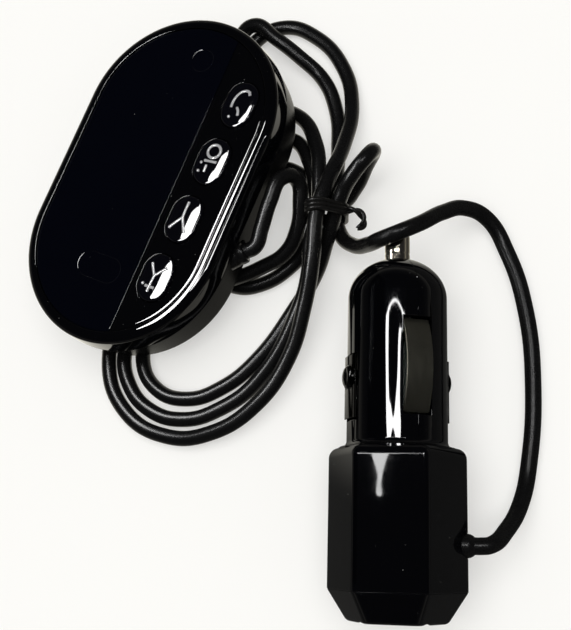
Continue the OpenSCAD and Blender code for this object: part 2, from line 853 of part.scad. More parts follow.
// The plug's hollow case, before it is split along its seam
module case_solid() {
    hexagon(cap_len, body_len - shoulder, corner_r, corner_r);
    hexagon(body_len - shoulder, body_len, corner_r, corner_r - shoulder);
    lathe([
        [0, body_len - shoulder], [barrel_r + collar_proud, body_len - shoulder],
        [barrel_r + collar_proud, body_len],
        [barrel_r + collar_proud / 4, body_len + collar_len / 3],
        [barrel_r, body_len + collar_len], [barrel_r, barrel_end], [0, barrel_end]
    ]);
    lathe(concat([[0, barrel_end - over], [barrel_r, barrel_end - over]],
        dome_outline(barrel_r, dome_len), [[0, dome_end]]));
}

// The dome's side, as far as the flat at the tip
function dome_outline(r, tall) =
    [for (i = [0:2 * round_steps])
        let (a = dome_sweep * i / (2 * round_steps))
        [r * cos(a), barrel_end + tall * sin(a) / sin(dome_sweep)]];

module case_hollow() {
    hexagon(cap_len - over, body_len - front_wall, body_cavity_r, body_cavity_r);
    lathe([
        [0, body_len - 2 * front_wall], [bore_r, body_len - 2 * front_wall],
        [bore_r, barrel_end], [bore_r - dome_wall, barrel_end + dome_len / 3],
        [tip_well_r, barrel_end + dome_len / 2], [tip_well_r, tip_seat], [0, tip_seat]
    ]);
    lathe([
        [0, tip_seat - over], [tip_r + tip_gap, tip_seat - over],
        [tip_r + tip_gap, dome_end + over], [0, dome_end + over]
    ]);
}

// Half of the case: side is 1 for the right half and -1 for the left
module case_half(side) {
    color([0.015, 0.015, 0.02])
        at_seam()
            intersection() {
                difference() {
                    rotate([0, -seam_turn, 0])
                        case_solid();
                    rotate([0, -seam_turn, 0])
                        case_hollow();
                    for (turn = [0, 180])
                        rotate([0, turn, 0])
                            translate([-slot_wid / 2, slot_mid - slot_len / 2, bore_r / 2])
                                cube([slot_wid, slot_len, barrel_r]);
                    for (turn = [-90, 90])
                        rotate([0, turn, 0])
                            translate([-slot_wid / 2, nub_mid - strip_back - strip_gap, bore_r / 2])
                                cube([slot_wid, strip_back + strip_front + 2 * strip_gap, barrel_r]);
                    rotate([0, -seam_turn, 0])
                        translate([0, gland_y, 0])
                            rotate([0, 90, 0])
                                cylinder(h = 2 * corner_r, r = gland_r + thread_gap);
                }
                translate([side > 0 ? 0 : -2 * corner_r, 0, -2 * corner_r])
                    cube([2 * corner_r, tip_end, 4 * corner_r]);
            }
    // Pad that the ground contact turns against
    color([0.015, 0.015, 0.02])
        at_seam()
            rotate([0, side * 90, 0])
                intersection() {
                    translate([-arm_wid / 2, nub_mid - arm_len - pad_len / 2, pad_low])
                        cube([arm_wid, pad_len, barrel_r - pad_low]);
                    lathe([[0, 0], [bore_r + barrel_wall / 2, 0],
                        [bore_r + barrel_wall / 2, tip_end], [0, tip_end]]);
                }
}
module plug_case_left() { case_half(-1); }
module plug_case_right() { case_half(1); }

module plug_end_cap() {
    color([0.02, 0.02, 0.025])
        at_plug()
            difference() {
                union() {
                    hexagon(0, cap_len, corner_r - cap_taper, corner_r);
                    hexagon(cap_len - over, cap_len + cap_skirt, body_cavity_r - fit, body_cavity_r - fit);
                }
                hexagon(body_wall, cap_len + cap_skirt + over, body_cavity_r - cap_taper / 2 - fit,
                    body_cavity_r - body_wall / 2 - fit);
                for (side = [-1, 1])
                    translate([-usb_wid / 2 - fit, -over, side * usb_mid - usb_tall / 2 - fit])
                        cube([usb_wid + 2 * fit, cap_len, usb_tall + 2 * fit]);
            }
}

// Socket number side, 1 above the board and -1 below it
module usb_shell(side) {
    color([0.75, 0.75, 0.76])
        at_plug()
            rotate([0, side > 0 ? 0 : 180, 0]) {
                difference() {
                    translate([-usb_wid / 2, usb_front, usb_mid - usb_tall / 2])
                        cube([usb_wid, usb_deep, usb_tall]);
                    translate([-usb_in_wid / 2, usb_front - over, usb_mid - usb_in_tall / 2])
                        cube([usb_in_wid, usb_deep + 2 * over, usb_in_tall]);
                }
                for (edge = [-1, 1], y = usb_leg_places)
                    translate([edge * (usb_wid - usb_sheet) / 2 - usb_sheet / 2, y, power_thick / 2])
                        cube([usb_sheet, usb_leg, usb_mid - usb_tall / 2 - power_thick / 2 + usb_sheet]);
            }
}
module usb_shell_upper() { usb_shell(1); }
module usb_shell_lower() { usb_shell(-1); }

module usb_tongue(side) {
    back = usb_front + usb_deep;
    color([0.9, 0.9, 0.92])
        at_plug()
            rotate([0, side > 0 ? 0 : 180, 0]) {
                translate([-tongue_wid / 2, usb_front + tongue_front,
                           usb_mid + usb_in_tall / 2 - tongue_off - tongue_thick])
                    cube([tongue_wid, usb_deep - tongue_front, tongue_thick]);
                translate([-usb_in_wid / 2 + usb_gap, back - usb_block, usb_mid - usb_in_tall / 2 + usb_gap])
                    cube([usb_in_wid - 2 * usb_gap, usb_block, usb_in_tall - 2 * usb_gap]);
            }
}
module usb_tongue_upper() { usb_tongue(1); }
module usb_tongue_lower() { usb_tongue(-1); }

module power_board() {
    color([0.06, 0.32, 0.14])
        at_plug()
            translate([-power_wid / 2, power_front, -power_thick / 2])
                cube([power_wid, power_end - power_front, power_thick]);
}

module power_inductor() {
    color([0.2, 0.2, 0.21])
        at_plug()
            translate([0, coil_at, power_thick / 2])
                difference() {
                    cylinder(h = coil_tall, r = coil_r);
                    translate([0, 0, coil_tall / 2])
                        cylinder(h = coil_tall, r = coil_r / 3);
                }
}

module input_capacitor() {
    color([0.12, 0.14, 0.3])
        at_plug()
            translate([can_at.x, can_at.y, power_thick / 2])
                cylinder(h = can_tall, r = can_r);
}

module output_capacitor() {
    color([0.1, 0.12, 0.28])
        at_plug()
            translate([small_can_x, small_can_at, power_thick / 2 + small_can_r])
                rotate([-90, 0, 0])
                    cylinder(h = small_can_len, r = small_can_r);
}

module regulator_chip() {
    color([0.03, 0.03, 0.03])
        at_plug()
            translate([-reg_size.x / 2, reg_at, -power_thick / 2 - reg_size.z])
                cube(reg_size);
}

module tip_contact() {
    color([0.8, 0.78, 0.74])
        at_plug()
            lathe(concat(
                [[0, tip_seat - tip_flange], [tip_flange_r, tip_seat - tip_flange],
                 [tip_flange_r, tip_seat], [tip_r, tip_seat], [tip_r, tip_end - tip_nose]],
                [[tip_r - tip_nose / 3, tip_end - tip_nose / 3], [tip_r - tip_nose, tip_end],
                 [0, tip_end]]));
}

module tip_spring() {
    from = power_end + seat_thick + fit / 2;
    to = tip_seat - tip_flange - fit;
    steps = spring_turns * spring_steps;
    path = [
        for (i = [0:steps])
            let (a = 360 * i / spring_steps)
            [spring_r * cos(a), from + spring_wire_r
                + (to - from - 2 * spring_wire_r) * i / steps, spring_r * sin(a)]
    ];
    color([0.7, 0.7, 0.7])
        at_plug()
            tube(path, spring_wire_r, wire_sides);
}

module spring_seat() {
    color([0.8, 0.62, 0.3])
        at_plug() {
            translate([0, power_end, 0])
                rotate([-90, 0, 0])
                    cylinder(h = seat_thick, r = seat_r);
            for (side = [0, 1])
                rotate([0, 180 * side, 0])
                    translate([-seat_leg_wid / 2, power_end - seat_leg, power_thick / 2])
                        cube([seat_leg_wid, seat_leg + seat_thick / 2, seat_thick / 2]);
        }
}

// Bowed leaf in a slot: turn is 0 for the upper one and 180 for the lower
module leaf_spring(turn) {
    color([0.42, 0.41, 0.33])
        at_seam()
            rotate([0, turn, 0])
                translate([0, slot_mid, 0]) {
                    translate([-leaf_wid / 2, 0, leaf_crest - leaf_arc_r])
                        rotate([0, 90, 0])
                            rotate([0, 0, 180 - leaf_half_angle])
                                rotate_extrude(angle = 2 * leaf_half_angle, $fn = 180)
                                    translate([leaf_arc_r - leaf_thick, 0])
                                        square([leaf_thick, leaf_wid]);
                    for (end = [-1, 1]) {
                        translate([-leaf_wid / 2, end * (leaf_half - leaf_thick / 2) - leaf_thick / 2,
                                   leaf_foot_top - leaf_thick])
                            cube([leaf_wid, leaf_thick,
                                  leaf_crest - leaf_rise - leaf_foot_top + leaf_thick / 2]);
                        translate([-leaf_wid / 2,
                                   end > 0 ? leaf_half - leaf_thick : -leaf_half - leaf_foot_out,
                                   leaf_foot_top - leaf_thick])
                            cube([leaf_wid, leaf_foot_out + leaf_thick, leaf_thick]);
                    }
                }
}
module leaf_spring_upper() { leaf_spring(0); }
module leaf_spring_lower() { leaf_spring(180); }

// Nub on its spring arm: side is 1 for the right one and -1 for the left
module ground_contact(side) {
    color([0.75, 0.72, 0.6])
        at_seam()
            rotate([0, side * 90, 0]) {
                translate([-arm_wid / 2, nub_mid - arm_len, arm_top - arm_thick])
                    cube([arm_wid, arm_len + nub_r, arm_thick]);
                translate([-arm_wid / 2, nub_mid - arm_len, knuckle_z])
                    rotate([0, 90, 0])
                        cylinder(h = arm_wid, r = knuckle_r);
                translate([-strip_wid / 2, nub_mid - strip_back, strip_top - strip_thick])
                    cube([strip_wid, strip_back + strip_front, strip_thick]);
                translate([0, nub_mid, 0])
                    rotate_extrude()
                        polygon([
                            [0, arm_top - arm_thick / 2], [post_r, arm_top - arm_thick / 2],
                            [post_r, strip_top - strip_thick], [nub_r, strip_top - strip_thick],
                            [nub_r, strip_top], [(nub_r + nub_flat_r) / 2, nub_top - strip_thick],
                            [nub_flat_r, nub_top], [0, nub_top]
                        ]);
            }
}
module ground_contact_left() { ground_contact(-1); }
module ground_contact_right() { ground_contact(1); }

module plug_gland() {
    color([0.05, 0.05, 0.05])
        at_plug()
            translate([0, gland_y, 0])
                rotate([0, 90, 0]) {
                    translate([0, 0, gland_flange_x - gland_flange])
                        cylinder(h = gland_flange, r = gland_flange_r);
                    translate([0, 0, gland_flange_x - gland_flange])
                        cylinder(h = corner_r + gland_proud - gland_flange_x + gland_flange, r = gland_r);
                }
}

module plug_leads() {
    from = [gland_flange_x - gland_flange - lead_gap, gland_y, power_thick / 2 + lead_r + fit];
    to = [power_wid / 3, gland_y + lead_run, power_thick / 2 + lead_r + fit];
    color([0.7, 0.1, 0.08])
        at_plug()
            for (k = [0:lead_count - 1])
                let (off = (k - (lead_count - 1) / 2) * lead_pitch * [0, 1, 0])
                bar(from + off, to + off, lead_r);
}

module cord() {
    color([0.03, 0.03, 0.03])
        tube(cord_route, cord_d / 2, cord_sides);
}

// Outline round the strands in the tie, standing off them by a gap
module strands_outline(gap) {
    hull()
        for (p = tie_strands)
            translate(p)
                circle(r = cord_d / 2 + gap, $fn = 24);
}
module tie_band() {
    color([0.04, 0.04, 0.04])
        translate([0, tie_y + tie_wid / 2, 0])
            rotate([90, 0, 0])
                linear_extrude(tie_wid)
                    difference() {
                        strands_outline(tie_gap + tie_thick);
                        strands_outline(tie_gap);
                    }
}
module tie_tail() {
    color([0.04, 0.04, 0.04])
        tube(tie_tail_route, tie_tail_d / 2, cord_sides);
}

pod_front_shell();
display_lens();
button_strip();
pod_rear_shell();
button_call();
button_source();
button_forward();
button_back();
plunger_call();
plunger_source();
plunger_forward();
plunger_back();
switch_call();
switch_source();
switch_forward();
switch_back();
pod_circuit_board();
display_glass();
display_backlight();
radio_shield();
control_chip();
microphone();
pod_connector();
pod_leads();
pod_nozzle();
pod_screws();
plug_case_left();
plug_case_right();
plug_end_cap();
usb_shell_upper();
usb_shell_lower();
usb_tongue_upper();
usb_tongue_lower();
power_board();
power_inductor();
input_capacitor();
output_capacitor();
regulator_chip();
tip_contact();
tip_spring();
spring_seat();
leaf_spring_upper();
leaf_spring_lower();
ground_contact_left();
ground_contact_right();
plug_gland();
plug_leads();
cord();
tie_band();
tie_tail();
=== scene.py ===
"""Looks of a car FM transmitter: a round-ended control pod, its cord, and the plug that powers it.

Pieces are modelled in millimetres in their sub-assembly's own frame, then put in their place in metres.
"""

import logging
import math
from contextlib import contextmanager
from dataclasses import dataclass, field
from enum import Enum
from typing import Callable, Iterator, Sequence

import bmesh
import bpy
from mathutils import Matrix, Vector


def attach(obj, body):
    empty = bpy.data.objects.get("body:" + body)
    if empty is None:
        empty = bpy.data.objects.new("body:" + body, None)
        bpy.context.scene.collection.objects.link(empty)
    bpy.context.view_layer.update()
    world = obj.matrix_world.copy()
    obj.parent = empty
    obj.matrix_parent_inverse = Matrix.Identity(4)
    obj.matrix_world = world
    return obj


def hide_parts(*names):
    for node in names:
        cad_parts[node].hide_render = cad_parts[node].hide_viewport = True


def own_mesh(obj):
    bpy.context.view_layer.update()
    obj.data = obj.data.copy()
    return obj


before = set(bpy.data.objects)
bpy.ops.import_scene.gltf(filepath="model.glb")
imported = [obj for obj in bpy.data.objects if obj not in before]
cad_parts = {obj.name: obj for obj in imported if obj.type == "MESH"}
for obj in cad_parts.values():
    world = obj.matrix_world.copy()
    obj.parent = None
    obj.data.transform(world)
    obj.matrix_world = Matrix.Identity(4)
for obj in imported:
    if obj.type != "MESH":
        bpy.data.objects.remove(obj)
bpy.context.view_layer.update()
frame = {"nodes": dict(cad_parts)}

LOG = logging.getLogger("transmitter")
MM = 0.001

Piece = bpy.types.Object
Socket = bpy.types.NodeSocket
Point2 = tuple[float, float]
Point3 = tuple[float, float, float]
Colour = tuple[float, float, float]

# Sides of the large, the smaller and the smallest rounds
ROUND = 128
FINE_ROUND = 96
SMALL_ROUND = 40
TINY_ROUND = 24
# How far a cutter passes what it cuts, in millimetres
PAST = 2.0
# Points closer than this are one, in millimetres
SAME_POINT = 0.0005
# Sizes whose ratio is closer to 1 than this are alike
ALIKE = 1e-9
# How strongly large faces pull the shading of their corners
FACE_PULL = 60
MIDDLE: tuple[Point2, ...] = ((0.0, 0.0),)


class Cut(Enum):
    """How a cutter acts on a piece."""

    AWAY = "DIFFERENCE"
    ONTO = "UNION"
    WITHIN = "INTERSECT"


# Tools for shaping pieces


def turned(degrees: float, axis: str) -> Matrix:
    """A turn about an axis through the origin."""
    return Matrix.Rotation(math.radians(degrees), 4, axis)


def moved(x: float, y: float, z: float = 0.0) -> Matrix:
    """A move along the three axes."""
    return Matrix.Translation((x, y, z))


# Turn the axis that a hoop grows along from up to the plug's length, and to its right side
ALONG = turned(-90, "X")
ACROSS = turned(90, "Y")


def deselect() -> None:
    """Deselects every object, so that an operator acts only on what is chosen next."""
    bpy.ops.object.select_all(action="DESELECT")


def choose(*pieces: Piece) -> Piece:
    """Selects pieces and makes the first the active one.

    Args:
        pieces: The pieces to select.

    Returns:
        The first of them.
    """
    deselect()
    for piece in pieces:
        piece.select_set(True)
    bpy.context.view_layer.objects.active = pieces[0]
    return pieces[0]


def named(piece: Piece, name: str) -> Piece:
    """Names a piece and its mesh.

    Args:
        piece: The piece.
        name: Its new name.

    Returns:
        The piece.
    """
    piece.name = name
    piece.data.name = name
    return piece


@contextmanager
def editing(piece: Piece, kind: str = "VERT") -> Iterator[Piece]:
    """Opens a piece in edit mode and closes it again.

    Args:
        piece: The piece to edit.
        kind: What is selected in it, VERT, EDGE or FACE.

    Yields:
        The piece.
    """
    choose(piece)
    bpy.ops.object.mode_set(mode="EDIT")
    bpy.ops.mesh.select_mode(type=kind)
    yield piece
    bpy.ops.object.mode_set(mode="OBJECT")


def face_outwards() -> None:
    """Turns every face of the piece that is being edited outwards."""
    bpy.ops.mesh.select_all(action="SELECT")
    bpy.ops.mesh.normals_make_consistent(inside=False)


def pick(piece: Piece, kind: str, wanted: Callable) -> None:
    """Selects, in edit mode, just the elements that pass a test.

    Args:
        piece: The piece being edited.
        kind: Which elements, verts, edges or faces.
        wanted: The test, given one element.
    """
    mesh = bmesh.from_edit_mesh(piece.data)
    for group in (mesh.verts, mesh.edges, mesh.faces):
        for element in group:
            element.select = False
    for element in getattr(mesh, kind):
        if wanted(element):
            element.select_set(True)
    if kind == "verts":
        mesh.select_flush(True)
    bmesh.update_edit_mesh(piece.data)


def arc(middle: Point2, radius: float, start: float, stop: float, steps: int = 6,
        rise: float | None = None) -> list[Point2]:
    """Points of a stretch of a circle or of an oval.

    Args:
        middle: Its middle.
        radius: Its radius, or half an oval's width.
        start: The angle that it starts at, in degrees.
        stop: The angle that it stops at, in degrees.
        steps: Straights between its points.
        rise: Half an oval's height.

    Returns:
        The points.
    """
    high = radius if rise is None else rise
    turns = [math.radians(start + (stop - start) * i / steps) for i in range(steps + 1)]
    return [(middle[0] + radius * math.cos(a), middle[1] + high * math.sin(a)) for a in turns]


def hoop(name: str, outline: Sequence[Point2], ends: Sequence[Point2] = MIDDLE,
         sides: int = ROUND, turn: float = 0.0, solid: bool = True) -> Piece:
    """Models a solid ring by ring, as round stretches about one or more middles joined by straights.

    Args:
        name: Name of the piece.
        outline: Distance from the middles and height of each ring, from first to last.
        ends: The middles. One makes a turned part, two a part with round ends.
        sides: Sides of the whole round.
        turn: Turn of the first corner, in degrees.
        solid: True for caps on the first and last ring, False where the outline closes on itself.

    Returns:
        The piece, with its rings stacked upwards.
    """
    deselect()
    if len(ends) > 1:
        turn += 180 / sides
    bpy.ops.mesh.primitive_circle_add(vertices=sides, radius=1, rotation=(0, 0, math.radians(turn)),
                                      fill_type="NGON" if solid else "NOTHING")
    piece = named(bpy.context.object, name)
    bpy.ops.object.transform_apply(location=True, rotation=True, scale=True)
    radius, height = outline[0]
    with editing(piece):
        mesh = bmesh.from_edit_mesh(piece.data)
        layer = mesh.verts.layers.int.new("end")
        for vert in mesh.verts:
            vert[layer] = max(range(len(ends)), key=lambda i: Vector(ends[i]).dot(vert.co.xy))
        bmesh.update_edit_mesh(piece.data)
        bpy.ops.mesh.select_all(action="SELECT")
        bpy.ops.transform.resize(value=(radius, radius, 1), center_override=(0, 0, 0))
        bpy.ops.transform.translate(value=(0, 0, height))
        for number, (x, y) in enumerate(ends):
            if len(ends) > 1:
                pick(piece, "verts", lambda v: v[layer] == number)
            bpy.ops.transform.translate(value=(x, y, 0))
        bpy.ops.mesh.select_all(action="SELECT")
        for wider, higher in outline[1:]:
            bpy.ops.mesh.extrude_region_move(TRANSFORM_OT_translate={"value": (0, 0, higher - height)})
            resize_ring(piece, ends, wider / radius, higher)
            radius, height = wider, higher
        if not solid:
            bpy.ops.mesh.select_all(action="SELECT")
            bpy.ops.mesh.remove_doubles(threshold=SAME_POINT)
        face_outwards()
    return piece


def resize_ring(piece: Piece, ends: Sequence[Point2], share: float, height: float) -> None:
    """Resizes the selected ring, each stretch about its own middle.

    Args:
        piece: The piece being edited.
        ends: The middles of the stretches.
        share: How many times wider the ring becomes.
        height: Height of the ring.
    """
    if abs(share - 1) < ALIKE:
        return
    if len(ends) == 1:
        bpy.ops.transform.resize(value=(share, share, 1), center_override=(*ends[0], height))
        return
    mesh = bmesh.from_edit_mesh(piece.data)
    layer = mesh.verts.layers.int["end"]
    ring = {vert.index for vert in mesh.verts if vert.select}
    for number, (x, y) in enumerate(ends):
        pick(piece, "verts", lambda v: v.index in ring and v[layer] == number)
        bpy.ops.transform.resize(value=(share, share, 1), center_override=(x, y, height))
    pick(piece, "verts", lambda v: v.index in ring)


def laid(piece: Piece, place: Matrix) -> Piece:
    """Moves a piece's mesh by a matrix and leaves its object at the origin.

    Args:
        piece: The piece.
        place: The matrix.

    Returns:
        The piece.
    """
    choose(piece)
    piece.matrix_world = place
    bpy.ops.object.transform_apply(location=True, rotation=True, scale=True)
    return piece


def block(name: str, low: Sequence[float], high: Sequence[float]) -> Piece:
    """A box between two corners, the start of a bar or a cutter.

    Args:
        name: Name of the piece.
        low: The corner with the lowest places.
        high: The corner with the highest places.

    Returns:
        The box.
    """
    deselect()
    bpy.ops.mesh.primitive_cube_add(size=1)
    piece = named(bpy.context.object, name)
    size = [b - a for a, b in zip(low, high)]
    middle = [(a + b) / 2 for a, b in zip(low, high)]
    return laid(piece, Matrix.LocRotScale(Vector(middle), None, Vector(size)))


def modified(piece: Piece, kind: str, **settings: object) -> Piece:
    """Adds a modifier to a piece, sets it and applies it.

    Args:
        piece: The piece.
        kind: The modifier's type.
        settings: What is set on it.

    Returns:
        The piece.
    """
    choose(piece)
    bpy.ops.object.modifier_add(type=kind)
    modifier = piece.modifiers[-1]
    for setting, value in settings.items():
        setattr(modifier, setting, value)
    bpy.ops.object.modifier_apply(modifier=modifier.name)
    return piece


def soften(piece: Piece, width: float, segments: int = 2, angle: float = 40.0) -> Piece:
    """Rounds every edge that turns by more than an angle in degrees."""
    return modified(piece, "BEVEL", width=width, segments=segments, limit_method="ANGLE",
                    angle_limit=math.radians(angle), use_clamp_overlap=False)


def carve(piece: Piece, cutter: Piece, how: Cut = Cut.AWAY) -> Piece:
    """Cuts a piece with another, which is used up.

    Args:
        piece: The piece.
        cutter: The other piece.
        how: What the cut leaves.

    Returns:
        The piece.
    """
    modified(piece, "BOOLEAN", object=cutter, operation=how.value, solver="EXACT")
    bpy.data.objects.remove(cutter)
    return piece


def join(*pieces: Piece) -> Piece:
    """Joins pieces into the first of them.

    Args:
        pieces: The pieces, all but the first of which are used up.

    Returns:
        The first of them.
    """
    choose(*pieces)
    bpy.ops.object.join()
    return pieces[0]


def copied(piece: Piece, name: str, place: Matrix) -> Piece:
    """Copies a piece with its own mesh and moves the copy's mesh by a matrix.

    Args:
        piece: The piece.
        name: Name of the copy.
        place: The matrix.

    Returns:
        The copy.
    """
    choose(piece)
    bpy.ops.object.duplicate(linked=False)
    return laid(named(bpy.context.object, name), place)


def curved(name: str, **settings: object) -> Piece:
    """A piece that is still a curve, with no line in it.

    Args:
        name: Name of the piece.
        settings: What is set on the curve.

    Returns:
        The piece.
    """
    curve = bpy.data.curves.new(name, "CURVE")
    for setting, value in settings.items():
        setattr(curve, setting, value)
    piece = bpy.data.objects.new(name, curve)
    bpy.context.scene.collection.objects.link(piece)
    return piece


def run_through(piece: Piece, points: Sequence[Sequence[float]], closed: bool = False) -> bpy.types.Spline:
    """Adds a line that is rounded through points to a curve.

    Args:
        piece: The curve.
        points: The points.
        closed: Whether the last point joins the first.

    Returns:
        The line.
    """
    line = piece.data.splines.new("BEZIER")
    line.bezier_points.add(len(points) - 1)
    for knot, point in zip(line.bezier_points, points):
        knot.co = point
        knot.handle_left_type = knot.handle_right_type = "AUTO"
    line.use_cyclic_u = closed
    return line


def made_mesh(piece: Piece) -> Piece:
    """Makes a curve a mesh.

    Args:
        piece: The curve.

    Returns:
        The mesh.
    """
    choose(piece)
    bpy.ops.object.convert(target="MESH")
    return bpy.context.object


def stroke(name: str, points: Sequence[Point3], radius: float, closed: bool = False,
           smooth: bool = False) -> Piece:
    """A round bar that follows points, made a mesh.

    Args:
        name: Name of the piece.
        points: The points that its middle line follows.
        radius: Half its thickness.
        closed: Whether the last point joins the first.
        smooth: Whether the line is rounded through the points.

    Returns:
        The piece.
    """
    piece = curved(name, dimensions="3D", bevel_depth=radius, bevel_resolution=4, use_fill_caps=True,
                   resolution_u=8)
    if smooth:
        run_through(piece, points, closed)
    else:
        line = piece.data.splines.new("POLY")
        line.points.add(len(points) - 1)
        for knot, point in zip(line.points, points):
            knot.co = (*point, 1)
        line.use_cyclic_u = closed
    piece = made_mesh(piece)
    with editing(piece):
        face_outwards()
    return piece


def strip(name: str, width: float, path: Sequence[Point2], thick: float, edge: float) -> Piece:
    """A bent sheet strip: its lower face follows a path of lengths and heights.

    Args:
        name: Name of the piece.
        width: Width of the strip, across.
        path: Places along and heights of its face, from one end to the other.
        thick: Thickness of the sheet, which grows upwards.
        edge: Rounding of its edges.

    Returns:
        The piece, centred across.
    """
    (y0, z0), (y1, z1) = path[:2]
    middle = (y0 + y1) / 2
    deselect()
    bpy.ops.mesh.primitive_plane_add(size=1)
    piece = bpy.context.object
    piece.name = name
    with editing(piece):
        bpy.ops.transform.resize(value=(width, y1 - y0, 1), center_override=(0, 0, 0))
        bpy.ops.transform.translate(value=(0, middle, (z0 + z1) / 2))
        pick(piece, "verts", lambda v: v.co.y < middle)
        bpy.ops.transform.translate(value=(0, 0, (z0 - z1) / 2))
        pick(piece, "verts", lambda v: v.co.y > middle)
        bpy.ops.transform.translate(value=(0, 0, (z1 - z0) / 2))
        for (ya, za), (yb, zb) in zip(path[1:], path[2:]):
            bpy.ops.mesh.extrude_region_move(TRANSFORM_OT_translate={"value": (0, yb - ya, zb - za)})
        face_outwards()
    modified(piece, "SOLIDIFY", thickness=thick, offset=1, use_even_offset=True)
    soften(piece, edge)
    with editing(piece):
        face_outwards()
    return piece


# Finishes


class Nodes:
    """The shader nodes of a material or of the world, added one by one."""

    def __init__(self, holder: bpy.types.Material | bpy.types.World) -> None:
        """Opens the nodes of a material or of the world."""
        holder.use_nodes = True
        self.tree = holder.node_tree

    def fill(self, node: bpy.types.Node, inputs: dict[str | int, object]) -> None:
        """Fills inputs of a node.

        Args:
            node: The node.
            inputs: A value for each input, or the output of another node.
        """
        for place, value in inputs.items():
            if isinstance(value, Socket):
                self.tree.links.new(value, node.inputs[place])
            else:
                node.inputs[place].default_value = value

    def add(self, kind: str, inputs: dict[str | int, object], **settings: object) -> bpy.types.Node:
        """Adds a node.

        Args:
            kind: Its type, without the words that all types start with.
            inputs: A value for each input, or the output of another node.
            settings: What is set on the node itself.

        Returns:
            The node.
        """
        node = self.tree.nodes.new(f"ShaderNode{kind}")
        for setting, value in settings.items():
            setattr(node, setting, value)
        self.fill(node, inputs)
        return node

    def noise(self, place: Socket, scale: float, detail: float) -> Socket:
        """A noise pattern, by its repeats in a metre and its octaves."""
        return self.add("TexNoise", {"Vector": place, "Scale": scale, "Detail": detail}).outputs["Fac"]

    def mixed(self, share: Socket, first: Socket | Colour, second: Socket | Colour) -> Socket:
        """A mix of two colours.

        Args:
            share: The second colour's share.
            first: The first colour.
            second: The second colour.

        Returns:
            The mixed colour.
        """
        one, two = (side if isinstance(side, Socket) else (*side, 1) for side in (first, second))
        return self.add("Mix", {"Factor": share, "A": one, "B": two}, data_type="RGBA").outputs["Result"]

    def sum(self, how: str, *values: Socket | float) -> Socket:
        """A sum, product or like result of values."""
        return self.add("Math", dict(enumerate(values)), operation=how).outputs[0]


@dataclass(frozen=True)
class Finish:
    """How a surface looks.

    Attributes:
        slot: The record's finish that it stands for. It is not used.
        colour: Its main colour.
        shade: The colour that it drifts to in places.
        metal: 1 for a metal and 0 for anything else.
        rough: Its lowest and highest roughness.
        grain: Size of its pattern, as repeats in a metre.
        relief: Strength of its fine relief.
        stretch: How the pattern is drawn out along x, y and z.
        shine: Strength of its mirror gloss, 0.5 for a common plastic.
        dust: Share of pale specks, 0 for none.
        drift_share: The drift's repeats as a share of the grain's.
        drift_detail: Octaves of the drift.
        fine_detail: Octaves of the grain.
        noise_range: The part of the grain that is spread over the roughness.
        relief_depth: Depth of the relief, in shares of one grain.
        speck_grain: Repeats of the specks in a metre.
        speck_edge: Width of a speck's soft edge.
        speck_colour: Colour of the specks.
    """

    slot: str
    colour: Colour
    shade: Colour
    metal: float = 0.0
    rough: tuple[float, float] = (0.3, 0.4)
    grain: float = 900.0
    relief: float = 0.1
    stretch: Point3 = (1.0, 1.0, 1.0)
    shine: float = 0.5
    dust: float = 0.0
    drift_share: float = 0.12
    drift_detail: float = 3.0
    fine_detail: float = 5.0
    noise_range: tuple[float, float] = (0.3, 0.7)
    relief_depth: float = 0.02
    speck_grain: float = 1900.0
    speck_edge: float = 0.03
    speck_colour: Colour = (0.16, 0.16, 0.15)

    def material(self, name: str) -> bpy.types.Material:
        """Makes the material, or gives it again where it has been made.

        Args:
            name: Name of the finish. The record has materials of the same names, so it gets a first word.

        Returns:
            The material.
        """
        name = f"look_{name}"
        if name in bpy.data.materials:
            return bpy.data.materials[name]
        made = bpy.data.materials.new(name)
        nodes = Nodes(made)
        place = nodes.add("TexCoord", {}).outputs["Object"]
        turn = nodes.add("Mapping", {"Vector": place, "Scale": self.stretch}).outputs["Vector"]
        fine = nodes.noise(turn, self.grain, self.fine_detail)
        drift = nodes.noise(turn, self.grain * self.drift_share, self.drift_detail)
        colour = nodes.mixed(drift, self.colour, self.shade)
        if self.dust:
            colour = self.dusted(nodes, place, colour)
        low, high = self.noise_range
        rough = nodes.add("MapRange", {"Value": fine, "From Min": low, "From Max": high,
                                       "To Min": self.rough[0], "To Max": self.rough[1]})
        bump = nodes.add("Bump", {"Strength": self.relief, "Distance": self.relief_depth / self.grain,
                                  "Height": fine})
        nodes.fill(nodes.tree.nodes["Principled BSDF"], {
            "Metallic": self.metal, "Specular IOR Level": self.shine, "Base Color": colour,
            "Roughness": rough.outputs["Result"], "Normal": bump.outputs["Normal"]})
        return made

    def dusted(self, nodes: Nodes, place: Socket, colour: Socket) -> Socket:
        """Lays sparse pale specks over a colour.

        Args:
            nodes: The material's nodes.
            place: The coordinates that the specks read.
            colour: The colour under them.

        Returns:
            The dusted colour.
        """
        ramp = nodes.add("ValToRGB", {"Fac": nodes.noise(place, self.speck_grain, 1.0)})
        ramp.color_ramp.elements[0].position = 1 - self.dust
        ramp.color_ramp.elements[1].position = 1 + self.speck_edge - self.dust
        return nodes.mixed(ramp.outputs["Color"], colour, self.speck_colour)


